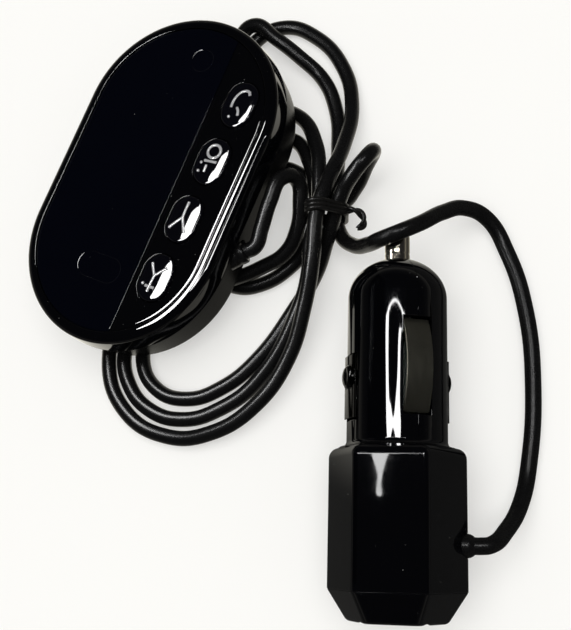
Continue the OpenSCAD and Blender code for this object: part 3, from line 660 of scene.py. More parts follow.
GLOSS_BLACK = Finish("gloss_black", (0.0006, 0.0007, 0.0011), (0.0012, 0.0012, 0.0017), rough=(0.018, 0.032),
                     grain=700, relief=0.006, shine=0.35, dust=0.2)
KEY_BLACK = Finish("gloss_black", (0.0012, 0.0012, 0.0022), (0.0022, 0.0022, 0.0036), rough=(0.025, 0.045),
                   grain=900, relief=0.01, shine=0.3)
LENS_BLACK = Finish("lens_black", (0.0006, 0.0008, 0.0022), (0.0009, 0.0012, 0.0032), rough=(0.018, 0.03),
                    grain=300, relief=0.002, shine=0.2, dust=0.17)
# The keys' signs are gloss black like the keys; their pale grey is a painted highlight, for the light that
# the raised strokes catch
SIGN_PAINTED_HIGHLIGHT = Finish("gloss_black", (0.30, 0.30, 0.31), (0.42, 0.42, 0.43), rough=(0.1, 0.18),
                   grain=1400, relief=0.03, shine=0.5)
SATIN_BLACK = Finish("satin_black", (0.0026, 0.0026, 0.0028), (0.0045, 0.0045, 0.0046), rough=(0.2, 0.27),
                     grain=5200, relief=0.12, shine=0.012)
CORD_RUBBER = Finish("cord_rubber", (0.0028, 0.0028, 0.0031), (0.0050, 0.0050, 0.0050), rough=(0.25, 0.31),
                     grain=3600, relief=0.05, shine=0.14)
TIE_BLACK = Finish("tie_black", (0.0045, 0.0045, 0.0045), (0.0085, 0.008, 0.0075), rough=(0.24, 0.36),
                   grain=2600, relief=0.2, shine=0.08)
NICKEL = Finish("nickel", (0.72, 0.67, 0.58), (0.62, 0.56, 0.45), metal=1.0, rough=(0.08, 0.15),
                grain=1500, relief=0.01, stretch=(1.0, 0.15, 1.0))
# Painted shade: nickel darkened almost to black, for the dark room that the nubs mirror
NICKEL_PAINTED_SHADE = Finish("nickel", (0.010, 0.010, 0.010), (0.018, 0.0175, 0.017), metal=1.0,
                     rough=(0.07, 0.13), grain=1500, relief=0.04)
SPRING_STEEL = Finish("spring_steel", (0.10, 0.097, 0.078), (0.15, 0.146, 0.12), metal=1.0,
                      rough=(0.34, 0.5), grain=2400, relief=0.22, stretch=(1.0, 0.08, 1.0))
STEEL = Finish("steel", (0.5, 0.5, 0.51), (0.38, 0.38, 0.39), metal=1.0, rough=(0.22, 0.34),
               grain=2600, relief=0.12)
TIN = Finish("tin", (0.66, 0.66, 0.67), (0.54, 0.55, 0.56), metal=1.0, rough=(0.2, 0.34),
             grain=2000, relief=0.1)
BRASS = Finish("brass", (0.78, 0.56, 0.24), (0.62, 0.42, 0.16), metal=1.0, rough=(0.18, 0.3),
               grain=1800, relief=0.08)
BOARD_GREEN = Finish("board_green", (0.0015, 0.009, 0.0045), (0.003, 0.018, 0.008), rough=(0.25, 0.42),
                     grain=2600, relief=0.35)
DARK_GLASS = Finish("dark_glass", (0.012, 0.014, 0.02), (0.018, 0.022, 0.03), rough=(0.03, 0.06),
                    grain=500, relief=0.01)
WHITE_NYLON = Finish("white_nylon", (0.72, 0.71, 0.68), (0.62, 0.61, 0.57), rough=(0.4, 0.55),
                     grain=2200, relief=0.15)
RED_WIRE = Finish("red_wire", (0.42, 0.025, 0.02), (0.3, 0.015, 0.012), rough=(0.35, 0.5),
                  grain=2400, relief=0.15)
CAN_BLUE = Finish("capacitor_blue", (0.03, 0.045, 0.16), (0.045, 0.065, 0.22), rough=(0.25, 0.4),
                  grain=1800, relief=0.12)
CHIP_BLACK = Finish("satin_black", (0.014, 0.014, 0.015), (0.022, 0.022, 0.022), rough=(0.45, 0.6),
                    grain=4200, relief=0.3)


def dress(piece: Piece, finish: Finish, look: str, body: str = "housing",
          stands_for: Sequence[str] = ()) -> Piece:
    """Gives a piece in its place its finish, its body and the nodes that it stands for.

    Args:
        piece: The piece.
        finish: Its finish.
        look: Name of the finish's material.
        body: The body that it moves with.
        stands_for: The nodes that it replaces.

    Returns:
        The piece.
    """
    piece.data.materials.clear()
    piece.data.materials.append(finish.material(look))
    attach(piece, body)
    if stands_for:
        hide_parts(*stands_for)
    LOG.info("%s rides on %s, finish %s", piece.name, body, look)
    return piece


def settle(piece: Piece, place: Matrix, finish: Finish, look: str, body: str = "housing",
           stands_for: Sequence[str] = (), smooth: float = 32.0) -> Piece:
    """Puts a finished piece in its place, dresses it and ties it to its body.

    Args:
        piece: The piece, in millimetres in its sub-assembly's frame.
        place: That frame, in millimetres.
        finish: Its finish.
        look: Name of the finish's material.
        body: The body that it moves with.
        stands_for: The nodes that it replaces.
        smooth: Faces that meet at less than this angle in degrees shade as one.

    Returns:
        The piece.
    """
    laid(piece, Matrix.Scale(MM, 4) @ place)
    choose(piece)
    bpy.ops.object.shade_smooth_by_angle(angle=math.radians(smooth))
    modified(piece, "WEIGHTED_NORMAL", keep_sharp=True, weight=FACE_PULL)
    return dress(piece, finish, look, body, stands_for)


# Sub-assemblies


@dataclass
class Pod:
    """The control pod: two shells, lens, strip, keys, strain relief and screws.

    Its frame has x to the right, y up the pod and z out of its face, which is at height 0. The cuts and
    the strain relief's groove each have the heights between which they run.
    """

    place: Point3 = (-19.9, 28.1, 19.0209)
    yaw: float = 22.0
    roll: float = 10.0
    sides: int = 192
    half: float = 15.2
    face_r: float = 24.7
    part_r: float = 25.0
    back_r: float = 24.2
    front_deep: float = 6.0
    deep: float = 15.0
    chamfer: float = 0.14
    front_round: float = 1.4
    rim_in: float = 2.2
    side_flare: float = 0.16
    side_low: float = -3.6
    back_round: float = 1.6
    floor_thick: float = 1.8
    opening_r: float = 22.1
    cavity_r: float = 22.9
    lip: float = 1.0
    lip_gap: float = 0.1
    panel_top: float = -1.6
    panel_low: float = -2.8
    panel_lip: float = 0.2
    panel_cut: Point2 = (-4.0, 0.0)
    window: tuple[Point2, Point2] = ((-15.0, -16.0), (2.0, 16.0))
    mic_hole_r: float = 1.0
    round_mark: Point2 = (0.6, 29.5)
    round_mark_r: float = 3.0
    long_mark: Point2 = (-1.9, -23.3)
    long_mark_r: float = 3.25
    long_mark_half: float = 2.75
    mark_edge: float = 0.43
    lens_top: float = -0.15
    lens_gap: float = 0.1
    lens_edge: float = 0.75
    lens_drop: float = 0.3
    lens_soft: float = 0.05
    strip_soft: float = 0.04
    insert_cut: Point3 = (30.0, 50.0, 5.0)
    split_x: float = 7.7
    split_gap: float = 0.2
    key_pitch: float = 14.2
    key_lean: float = 0.55
    key_x: float = 14.05
    key_r: float = 3.905
    key_half: float = 1.595
    key_gap: float = 0.25
    key_room: float = 0.9
    key_cut: Point2 = (-6.0, 2.0)
    key_proud: float = 0.8
    key_crown: float = 16.0
    crown_rings: int = 9
    key_round: Point2 = (0.62, 0.55)
    key_flange: float = 0.7
    key_flange_top: float = -1.65
    key_flange_low: float = -2.65
    stem_r: float = 1.5
    stem_end: float = -3.6
    key_bodies: tuple[str, ...] = ("call", "source", "forward", "back")
    screw_spots: tuple[Point2, ...] = ((7.32, 31.64), (7.32, -31.64), (-13.79, 26.77), (-13.79, -26.77))
    screw_head_r: float = 2.1
    screw_head_low: float = -14.8
    screw_head_top: float = -13.7
    screw_r: float = 0.95
    thread_deep: float = 0.17
    thread_low: float = -12.6
    thread_len: float = 8.8
    thread_turns: int = 12
    cross_half: Point2 = (1.1, 0.22)
    recess_r: float = 2.2
    recess_flare: float = 0.4
    rear_boss_r: float = 3.0
    rear_boss_bore_r: float = 1.15
    rear_boss_low: float = -14.9
    rear_boss_top: float = -8.2
    front_boss: tuple[Point2, Point2] = ((1.0, -7.0), (2.4, -2.7))
    nozzle_end: Point3 = (25.9, -7.9, -9.0)
    nozzle_turn: float = 45.0
    nozzle_r: float = 2.5
    nozzle_len: float = 7.3
    nozzle_flange: float = 1.2
    nozzle_flange_r: float = 2.95
    nozzle_gap: float = 0.05
    groove: Point2 = (-2.3, -1.3)
    groove_deep: float = 0.08
    ends: tuple[Point2, ...] = field(init=False)
    key_ends: tuple[Point2, ...] = field(init=False)
    frame: Matrix = field(init=False)

    def __post_init__(self) -> None:
        """Works out the pod's frame and the middles of the round ends."""
        self.ends = ((0.0, self.half), (0.0, -self.half))
        self.key_ends = ((0.0, self.key_half), (0.0, -self.key_half))
        self.frame = Matrix.Translation(self.place) @ turned(-self.yaw, "Z") @ turned(-self.roll, "Y")

    def key_at(self, number: int) -> Point3:
        """Middle of a key on the face, counted from the top of the row."""
        step = (len(self.key_bodies) - 1) / 2 - number
        return (self.key_x + step * self.key_lean, step * self.key_pitch, 0.0)

    def cut_keys(self, piece: Piece, radius: float) -> None:
        """Cuts the four key openings through a piece.

        Args:
            piece: The piece.
            radius: Radius of the openings' round ends.
        """
        for number in range(len(self.key_bodies)):
            cutter = hoop("key_cutter", [(radius, z) for z in self.key_cut], self.key_ends, sides=64)
            carve(piece, laid(cutter, Matrix.Translation(self.key_at(number))))

    def at_screws(self, name: str, outline: Sequence[Point2], sides: int, solid: bool = True) -> list[Piece]:
        """The same turned piece at each of the four screws."""
        return [laid(hoop(name, outline, sides=sides, solid=solid), moved(x, y))
                for x, y in self.screw_spots]

    def front_shell(self) -> None:
        """The glossy front shell with its rounded rim and the panel under the face."""
        seam, edge, lip, rim = -self.front_deep, self.chamfer, self.panel_lip, self.front_round
        outline = [
            (self.cavity_r, self.panel_low), (self.cavity_r, seam + edge),
            (self.cavity_r + edge, seam), (self.part_r - edge, seam), (self.part_r, seam + edge),
            (self.face_r + self.side_flare, self.side_low), (self.face_r, -rim - 0.4),
            *arc((self.face_r - self.rim_in, -rim), self.rim_in, 0, 90, 12, rise=rim),
            *arc((self.opening_r + lip, -lip), lip, 90, 180, 4),
            (self.opening_r, self.panel_top),
        ]
        shell = hoop("front_shell", outline, self.ends, self.sides)
        self.cut_keys(shell, self.key_r + self.key_room)
        carve(shell, block("window", *[(*corner, z) for corner, z in zip(self.window, self.panel_cut)]))
        hole = hoop("mic_hole", [(self.mic_hole_r, z) for z in self.panel_cut], sides=TINY_ROUND)
        carve(shell, laid(hole, moved(*self.round_mark)))
        (bore_r, low), (boss_r, high) = self.front_boss
        boss = [(bore_r, low), (boss_r, low), (boss_r, high), (bore_r, high), (bore_r, low)]
        join(shell, *self.at_screws("boss", boss, TINY_ROUND, solid=False))
        settle(shell, self.frame, GLOSS_BLACK, "gloss_black_shell", stands_for=["pod_front_shell"])

    def face_piece(self, name: str, low_x: float, high_x: float) -> Piece:
        """The part of the face insert between two places across.

        Args:
            name: Name of the piece.
            low_x: The place where it starts.
            high_x: The place where it stops.

        Returns:
            The piece.
        """
        radius = self.opening_r - self.lens_gap
        side, drop = radius - self.lens_edge, self.lens_drop
        outline = [(radius, self.panel_top),
                   *arc((side, self.lens_top - drop), self.lens_edge, 0, 90, 6, rise=drop),
                   (side - 0.1, self.lens_top)]
        piece = hoop(name, outline, self.ends, self.sides)
        _, far, high = self.insert_cut
        return carve(piece, block("half", (low_x, -far, -high), (high_x, far, high)), Cut.WITHIN)

    def mark(self, name: str, radius: float, ends: Sequence[Point2], place: Point2,
             turn: float = 0.0) -> Piece:
        """A cutter that presses a mark with rounded edges into the lens.

        Args:
            name: Name of the cutter.
            radius: Radius of the mark's round ends.
            ends: Middles of the round ends.
            place: Where the mark is on the face.
            turn: Turn of the first corner, in degrees.

        Returns:
            The cutter.
        """
        edge = self.mark_edge
        outline = [*arc((radius, self.lens_top - edge), edge, 145, 90, 8), (radius + 0.02, 1.0)]
        return laid(hoop(name, outline, ends, FINE_ROUND, turn), moved(*place))

    def lens(self) -> None:
        """The smoked display lens, with a round and a long mark pressed into it."""
        lens = self.face_piece("lens", -self.insert_cut[0], self.split_x - self.split_gap / 2)
        carve(lens, self.mark("round_mark", self.round_mark_r, MIDDLE, self.round_mark))
        ends = ((self.long_mark_half, 0.0), (-self.long_mark_half, 0.0))
        carve(lens, self.mark("long_mark", self.long_mark_r, ends, self.long_mark, turn=90))
        soften(lens, self.lens_soft, angle=60)
        settle(lens, self.frame, LENS_BLACK, "smoked_lens", stands_for=["display_lens"])

    def strip(self) -> None:
        """The glossy strip that the keys stand in."""
        piece = self.face_piece("key_strip", self.split_x + self.split_gap / 2, self.insert_cut[0])
        self.cut_keys(piece, self.key_r + self.key_gap)
        soften(piece, self.strip_soft, angle=60)
        settle(piece, self.frame, GLOSS_BLACK, "gloss_black_strip", stands_for=["button_strip"])

    def keys(self) -> None:
        """Four crowned keys, each with its flange, its stem and its raised sign, painted grey as a
        highlight.
        """
        signs = (Signs.call, Signs.source, Signs.forward, Signs.back)
        wide, high = self.key_round
        shoulder = self.key_r - wide
        crown = [shoulder * (1 - i / self.crown_rings) for i in range(self.crown_rings)]
        low = self.key_proud - shoulder ** 2 / (2 * self.key_crown) - high
        flange_r = self.key_r + self.key_flange
        outline = [(flange_r, self.key_flange_low), (flange_r, self.key_flange_top),
                   (self.key_r, self.key_flange_top), (self.key_r, low),
                   *arc((shoulder, low), wide, 10, 70, 6, rise=high),
                   *[(x, self.key_proud - x ** 2 / (2 * self.key_crown)) for x in crown]]
        r, end = self.stem_r, self.stem_end
        stem_outline = [(r - 0.2, end), (r, end + 0.2), (r, end + 1)]
        for number, name in enumerate(self.key_bodies):
            key = hoop(f"key_{name}", outline, self.key_ends, FINE_ROUND)
            join(key, hoop("stem", stem_outline, sides=32))
            place = self.frame @ Matrix.Translation(self.key_at(number))
            settle(key, place, KEY_BLACK, "gloss_black_keys", f"{name}_key", [f"button_{name}"], smooth=40)
            sign = join(*signs[number](self.key_proud))
            sign.name = f"sign_{name}"
            # Painted highlight: the sign is grey for the light that its raised strokes catch, though it is
            # gloss black like the key
            settle(sign, place, SIGN_PAINTED_HIGHLIGHT, "sign_painted_highlight", f"{name}_key", smooth=50)

    def rear_shell(self) -> None:
        """The satin rear shell: draft, lip, floor, screw recesses and the strain relief's hole."""
        seam, edge, lip = -self.front_deep, self.chamfer, self.lip
        lip_r = self.cavity_r - self.lip_gap
        curve = self.back_r - self.back_round
        outline = [
            (curve, -self.deep), *arc((curve, self.back_round - self.deep), self.back_round, -75, 0, 6),
            (self.part_r, seam - edge), (self.part_r - edge, seam),
            (lip_r, seam), (lip_r, seam + lip), (lip_r - lip, seam + lip), (lip_r - lip, seam - lip),
            (self.cavity_r, seam - 1.6), (self.cavity_r, self.floor_thick - self.deep),
        ]
        shell = hoop("rear_shell", outline, self.ends, self.sides)
        r, flare = self.recess_r, self.recess_flare
        recess = [(r + flare, -flare - self.deep), (r + flare, -self.deep), (r, flare - self.deep),
                  (r, PAST - self.deep)]
        for cutter in self.at_screws("recess", recess, SMALL_ROUND):
            carve(shell, cutter)
        hole_r = self.nozzle_r + self.nozzle_gap
        hole = [(hole_r, 0.3 - self.nozzle_len), (hole_r, PAST)]
        carve(shell, self.on_nozzle(hoop("nozzle_hole", hole, sides=SMALL_ROUND)))
        bore_r, boss_r = self.rear_boss_bore_r, self.rear_boss_r
        low, seat, top = self.rear_boss_low, self.screw_head_top, self.rear_boss_top
        boss = [(r, low), (r, seat), (bore_r, seat), (bore_r, top), (boss_r, top), (boss_r, low), (r, low)]
        join(shell, *self.at_screws("rear_boss", boss, SMALL_ROUND, solid=False))
        settle(shell, self.frame, SATIN_BLACK, "satin_black_shell", stands_for=["pod_rear_shell"])

    def on_nozzle(self, piece: Piece) -> Piece:
        """Lays a turned piece on the strain relief's line, its height 0 at the relief's end."""
        return laid(piece, Matrix.Translation(self.nozzle_end) @ turned(self.nozzle_turn, "Z") @ ACROSS)

    def nozzle(self) -> None:
        """The strain relief, with its flange inside, its groove and its rounded lip outside."""
        back = -self.nozzle_len - self.nozzle_flange
        r, groove_r, wide = self.nozzle_r, self.nozzle_r - self.groove_deep, self.nozzle_flange_r
        first, last = self.groove
        outline = [(wide, back), (wide, -self.nozzle_len), (r, -self.nozzle_len), (r, first),
                   (groove_r, first + 0.2), (groove_r, last - 0.2), (r, last), (r, -0.35),
                   (r - 0.1, -0.1), (r - 0.3, 0.0), (r - 0.6, -0.05)]
        piece = self.on_nozzle(hoop("strain_relief", outline, sides=SMALL_ROUND))
        settle(piece, self.frame, CORD_RUBBER, "cord_rubber", stands_for=["pod_nozzle"])

    def screws(self) -> None:
        """Four screws with domed heads, crossed recesses and ridged shanks."""
        head_r, low, r = self.screw_head_r, self.screw_head_low, self.screw_r
        outline = [(head_r - 0.6, low), (head_r - 0.2, low + 0.15), (head_r, low + 0.5),
                   (head_r, self.screw_head_top), (r, self.screw_head_top)]
        for i in range(self.thread_turns):
            z = self.thread_low + self.thread_len * i / self.thread_turns
            outline += [(r, z), (r - self.thread_deep, z + 0.3)]
        outline += [(0.8, -3.6), (0.5, -3.4)]
        screw = hoop("screw", outline, sides=32)
        long, short = self.cross_half
        for x, y in ((long, short), (short, long)):
            carve(screw, block("cross", (-x, -y, low - 0.2), (x, y, low + 0.6)))
        others = [copied(screw, "screw", moved(x, y)) for x, y in self.screw_spots[1:]]
        laid(screw, moved(*self.screw_spots[0]))
        join(screw, *others)
        screw.name = "pod_screw_set"
        settle(screw, self.frame, STEEL, "steel", stands_for=["pod_screws"])

    def build(self) -> None:
        """Builds and dresses every piece of the pod."""
        self.front_shell()
        self.lens()
        self.strip()
        self.keys()
        self.rear_shell()
        self.nozzle()
        self.screws()


class Signs:
    """The raised signs of the keys: plain strokes and dots, sunk in the crown."""

    # Half a stroke's thickness, and how far it stands out of the crown
    HALF = 0.37
    PROUD = 0.17
    # How much the crown falls away across and along the key
    FALL = (0.012, 0.004)
    # Where strokes meet, from the key's middle
    MEETING = (-0.1, 0.2)

    @classmethod
    def line(cls, proud: float, *points: Point2, closed: bool = False, smooth: bool = False) -> Piece:
        """A stroke through points on the crown, its top just above it.

        Args:
            proud: Height of the crown's middle.
            points: The points.
            closed: Whether the last point joins the first.
            smooth: Whether the line is rounded through the points.

        Returns:
            The stroke.
        """
        height = proud - cls.HALF + cls.PROUD
        across, along = cls.FALL
        crowned = [(x, y, height - across * (x * x) - along * y * y) for x, y in points]
        return stroke("sign", crowned, cls.HALF, closed, smooth)

    @classmethod
    def dot(cls, proud: float, x: float, y: float) -> Piece:
        """A small dot on the crown."""
        outline = [(0.34, proud - 0.4), (0.34, proud + 0.02), (0.26, proud + 0.12), (0.1, proud + 0.16)]
        return laid(hoop("dot", outline, sides=20), moved(x, y, -0.05))

    @classmethod
    def call(cls, proud: float) -> list[Piece]:
        """A bent handset."""
        return [
            cls.line(proud, (-1.4, -1.2), (-1.4, 0.6), (-0.8, 2.2), (0.3, 3.2), (1.4, 3.3), smooth=True),
            cls.line(proud, (1.4, 3.3), (1.9, 2.4)),
            cls.line(proud, (0.1, -0.9), (0.7, -1.7), (1.0, -2.7), smooth=True),
            cls.dot(proud, -1.0, -3.4),
        ]

    @classmethod
    def source(cls, proud: float) -> list[Piece]:
        """A ring on a crossed stem, with two dots."""
        ring = arc((-0.1, 2.2), 1.55, 0, 345, 23)
        return [
            cls.line(proud, *ring, closed=True),
            cls.line(proud, (-1.5, -0.3), (1.6, -0.1)),
            cls.line(proud, (-0.55, -1.2), (-0.5, -2.9)),
            cls.dot(proud, -2.1, -0.9),
            cls.dot(proud, -2.0, -2.9),
        ]

    @classmethod
    def bars(cls, proud: float, *ends: Point2) -> list[Piece]:
        """Bars that meet near the key's middle."""
        return [cls.line(proud, cls.MEETING, end) for end in ends]

    @classmethod
    def forward(cls, proud: float) -> list[Piece]:
        """Three bars that meet, two of them spread below."""
        return cls.bars(proud, (-0.2, 3.9), (-2.4, -2.8), (1.7, -3.0))

    @classmethod
    def back(cls, proud: float) -> list[Piece]:
        """Three bars that meet, two of them spread above, on a crossed foot with a dot."""
        bars = cls.bars(proud, (-1.9, 2.8), (2.2, 2.8), (-0.3, -3.6))
        return [*bars, cls.line(proud, (-1.3, -2.4), (1.1, -2.4)), cls.dot(proud, -2.1, -2.1)]


@dataclass
class Plug:
    """The plug: case halves on a slanted seam, end cap, sockets and the cord's gland.

    Its frame has y along the plug from its rear end, and a corner of its body on each side. The cavity,
    the skirt and the slots each have the places along between which they run.
    """

    place: Point3 = (35.7, -67.1, 12.6007)
    corner_r: float = 14.55
    corner_round: float = 0.9
    cap_len: float = 6.2
    cap_taper: float = 4.1
    cap_edge: float = 0.5
    cap_hollow: tuple[Point2, Point2] = ((10.09, 2.0), (11.3, 11.0))
    skirt_r: float = 12.14
    skirt: Point2 = (5.0, 8.7)
    body_len: float = 34.7
    shoulder: float = 2.2
    barrel_r: float = 10.5
    barrel_end: float = 66.4
    dome_len: float = 8.4
    dome_sweep: float = 72.0
    bore_from: float = 30.0
    bore_r: float = 8.5
    bore_steps: tuple[Point2, ...] = ((6.5, 69.2), (4.4, 70.6), (4.4, 72.4))
    cavity_r: float = 12.24
    cavity: Point2 = (4.0, 32.7)
    fillet: float = 1.3
    tip_hole_r: float = 2.75
    tip_hole_edge: float = 0.3
    seam_turn: float = 30.0
    seam_edge: float = 0.07
    slot_wid: float = 6.3
    slot_floor: float = 4.25
    slot: Point2 = (40.7, 60.9)
    nub_slot: Point2 = (39.9, 53.8)
    pad: tuple[Point3, Point3] = ((-2.0, 35.4, 7.6), (2.0, 38.4, 9.2))
    gland_y: float = 15.3
    gland_r: float = 2.45
    gland_flange_r: float = 3.3
    gland_gap: float = 0.05
    gland_end: float = 15.6
    socket_pitch: float = 8.5
    socket_corner: Point2 = (5.75, 2.05)
    socket_room: float = 0.2
    socket_r: float = 0.8
    socket_len: float = 14.2
    socket_wall: float = 0.3
    socket_mouth: tuple[Point2, ...] = ((1.0, -1.0), (1.0, 0.0), (0.7, 0.3), (0.7, 6.0))
    leg_x: float = 6.4
    legs: Point2 = (4.0, 9.0)
    contact_spots: tuple[float, ...] = (-3.5, -1.0, 1.0, 3.5)
    frame: Matrix = field(init=False)
    seam: Matrix = field(init=False)
    gland_line: Matrix = field(init=False)

    def __post_init__(self) -> None:
        """Works out the plug's frame, the turn to its seam and the line that the cord enters on."""
        self.frame = Matrix.Translation(self.place)
        self.seam = turned(self.seam_turn, "Y")
        self.gland_line = moved(0, self.gland_y) @ ACROSS

    def bar(self, name: str, outline: Sequence[Point2], edge: float = 0.0) -> Piece:
        """A six-sided bar along the plug.

        Args:
            name: Name of the bar.
            outline: Distance of the corners from the middle and place along of each ring.
            edge: Rounding of its long corners, 0 for none.

        Returns:
            The bar.
        """
        piece = hoop(name, outline, sides=6, turn=90)
        if edge:
            with editing(piece, "EDGE"):
                pick(piece, "edges", self.runs_along)
                bpy.ops.mesh.bevel(offset=edge, segments=4, affect="EDGES", clamp_overlap=True)
        return laid(piece, ALONG)

    @staticmethod
    def runs_along(edge: bmesh.types.BMEdge) -> bool:
        """Whether an edge of a six-sided bar runs from ring to ring and not around."""
        a, b = (vert.co.xy.normalized() for vert in edge.verts)
        return a.dot(b) > 0.999

    @staticmethod
    def corners(wide: float, high: float) -> tuple[Point2, ...]:
        """Middles of the four round corners of an opening."""
        return tuple((x, y) for x in (-wide, wide) for y in (-high, high))

    def case(self) -> Piece:
        """The whole case before it is split: body, collar, barrel and dome, hollowed and slotted.

        Returns:
            The case.
        """
        turn = arc((self.corner_r - self.shoulder, self.body_len - self.shoulder), self.shoulder, 0, 90, 8)
        body = self.bar("case", [(self.corner_r, self.cap_len), *turn], self.corner_round)
        foot = self.barrel_r + self.fillet
        curve = arc((foot, self.body_len + self.fillet), self.fillet, -90, -180, 6)
        rise = self.dome_len / math.sin(math.radians(self.dome_sweep))
        dome = arc((0.0, self.barrel_end), self.barrel_r, 0, self.dome_sweep, 18, rise=rise)
        barrel = [(foot + 0.2, self.bore_from), (foot + 0.2, self.body_len - 0.02), *curve, *dome]
        carve(body, laid(hoop("barrel", barrel), ALONG), Cut.ONTO)
        carve(body, self.bar("body_hollow", [(self.cavity_r, y) for y in self.cavity]))
        hollow = [(self.bore_r, self.bore_from), (self.bore_r, self.barrel_end), *self.bore_steps]
        carve(body, laid(hoop("bore", hollow), ALONG))
        edge, r = self.tip_hole_edge, self.tip_hole_r
        end = self.barrel_end + self.dome_len
        tip_hole = [(r, 72), (r, end - edge), (r + edge, end), (r + edge, end + 1)]
        carve(body, laid(hoop("tip_hole", tip_hole, sides=48), ALONG))
        half = self.slot_wid / 2
        slots = {0: self.slot, 180: self.slot, -90: self.nub_slot, 90: self.nub_slot}
        for degrees, (low, high) in slots.items():
            cutter = block("slot", (-half, low, self.slot_floor), (half, high, 14))
            carve(body, laid(cutter, self.seam @ turned(degrees, "Y")))
        hole_r = self.gland_r + self.gland_gap
        hole = hoop("gland_hole", [(hole_r, 6), (hole_r, 20)], sides=SMALL_ROUND)
        return carve(body, laid(hole, self.gland_line))

    def case_halves(self) -> None:
        """Splits the case on its seam, and gives each half the pad for its ground contact."""
        whole = self.case()
        for side, name in ((-1, "left"), (1, "right")):
            half = copied(whole, f"case_{name}", Matrix.Identity(4))
            low, high = sorted((0.0, side * 30.0))
            carve(half, laid(block("side", (low, -5, -30), (high, 90, 30)), self.seam), Cut.WITHIN)
            soften(half, self.seam_edge, 1, 50)
            pad = soften(block("pad", *self.pad), 0.2)
            join(half, laid(pad, self.seam @ turned(90 * side, "Y")))
            settle(half, self.frame, GLOSS_BLACK, "gloss_black_plug", stands_for=[f"plug_case_{name}"])
        bpy.data.objects.remove(whole)

    def end_cap(self) -> None:
        """The tapered end cap with its skirt, its hollow and the two socket openings."""
        edge = self.cap_edge
        front_r = self.corner_r - self.cap_taper
        slope = self.cap_taper / self.cap_len
        outline = [(front_r - edge, 0), (front_r - 0.15, 0.12), (front_r + slope * edge, edge),
                   (self.corner_r - 0.1, self.cap_len - 0.14), (self.corner_r - 0.16, self.cap_len)]
        cap = self.bar("end_cap", outline, self.corner_round)
        carve(cap, self.bar("skirt", [(self.skirt_r, y) for y in self.skirt]), Cut.ONTO)
        carve(cap, self.bar("cap_hollow", self.cap_hollow))
        wide, high = self.socket_corner
        ends = self.corners(wide + self.socket_room, high + self.socket_room)
        for side in (-1, 1):
            cutter = laid(hoop("socket_cutter", self.socket_mouth, ends, sides=32), ALONG)
            carve(cap, laid(cutter, moved(0, 0, side * self.socket_pitch / 2)))
        soften(cap, 0.06, 1, 50)
        settle(cap, self.frame, GLOSS_BLACK, "gloss_black_plug", stands_for=["plug_end_cap"])

    def sockets(self) -> None:
        """Two socket shells, folded from sheet, and the contacts under each tongue."""
        r, length, inner = self.socket_r, self.socket_len, self.socket_r - self.socket_wall
        outline = [(r, 0.75), (r, length), (inner, length), (inner, 1.1), (0.6, 0.7), (0.72, 0.6), (r, 0.75)]
        for half_turn, name in ((0, "upper"), (180, "lower")):
            turn = turned(half_turn, "Y")
            shell = hoop(f"socket_shell_{name}", outline, self.corners(*self.socket_corner), 48, solid=False)
            laid(laid(shell, ALONG), moved(0, 0, self.socket_pitch / 2))
            legs = [soften(block("leg", (x - 0.15, y, 0.6), (x + 0.15, y + 2, 1.7)), 0.05, 1)
                    for x in (-self.leg_x, self.leg_x) for y in self.legs]
            join(shell, *legs)
            settle(laid(shell, turn), self.frame, TIN, "tin", stands_for=[f"usb_shell_{name}"])
            contacts = join(*[soften(block("contact", (x - 0.5, 2.3, 4.1), (x + 0.5, 10, 4.3)), 0.06, 1)
                              for x in self.contact_spots])
            contacts.name = f"socket_contacts_{name}"
            settle(laid(contacts, turn), self.frame, BRASS, "gold_contacts")

    def gland(self) -> Piece:
        """The cord's gland at the body's right corner, with its flange inside.

        Returns:
            The gland.
        """
        r, wide, end = self.gland_r, self.gland_flange_r, self.gland_end
        outline = [(wide, 9.04), (wide, 10.24), (r, 10.24), (r, end - 1.4), (r - 0.15, end - 0.8),
                   (r - 0.4, end - 0.3), (r - 0.65, end)]
        piece = laid(hoop("gland", outline, sides=SMALL_ROUND), self.gland_line)
        return settle(piece, self.frame, CORD_RUBBER, "cord_rubber", stands_for=["plug_gland"])

    def build(self) -> None:
        """Builds and dresses the case, the end cap and the sockets."""
        self.case_halves()
        self.end_cap()
        self.sockets()


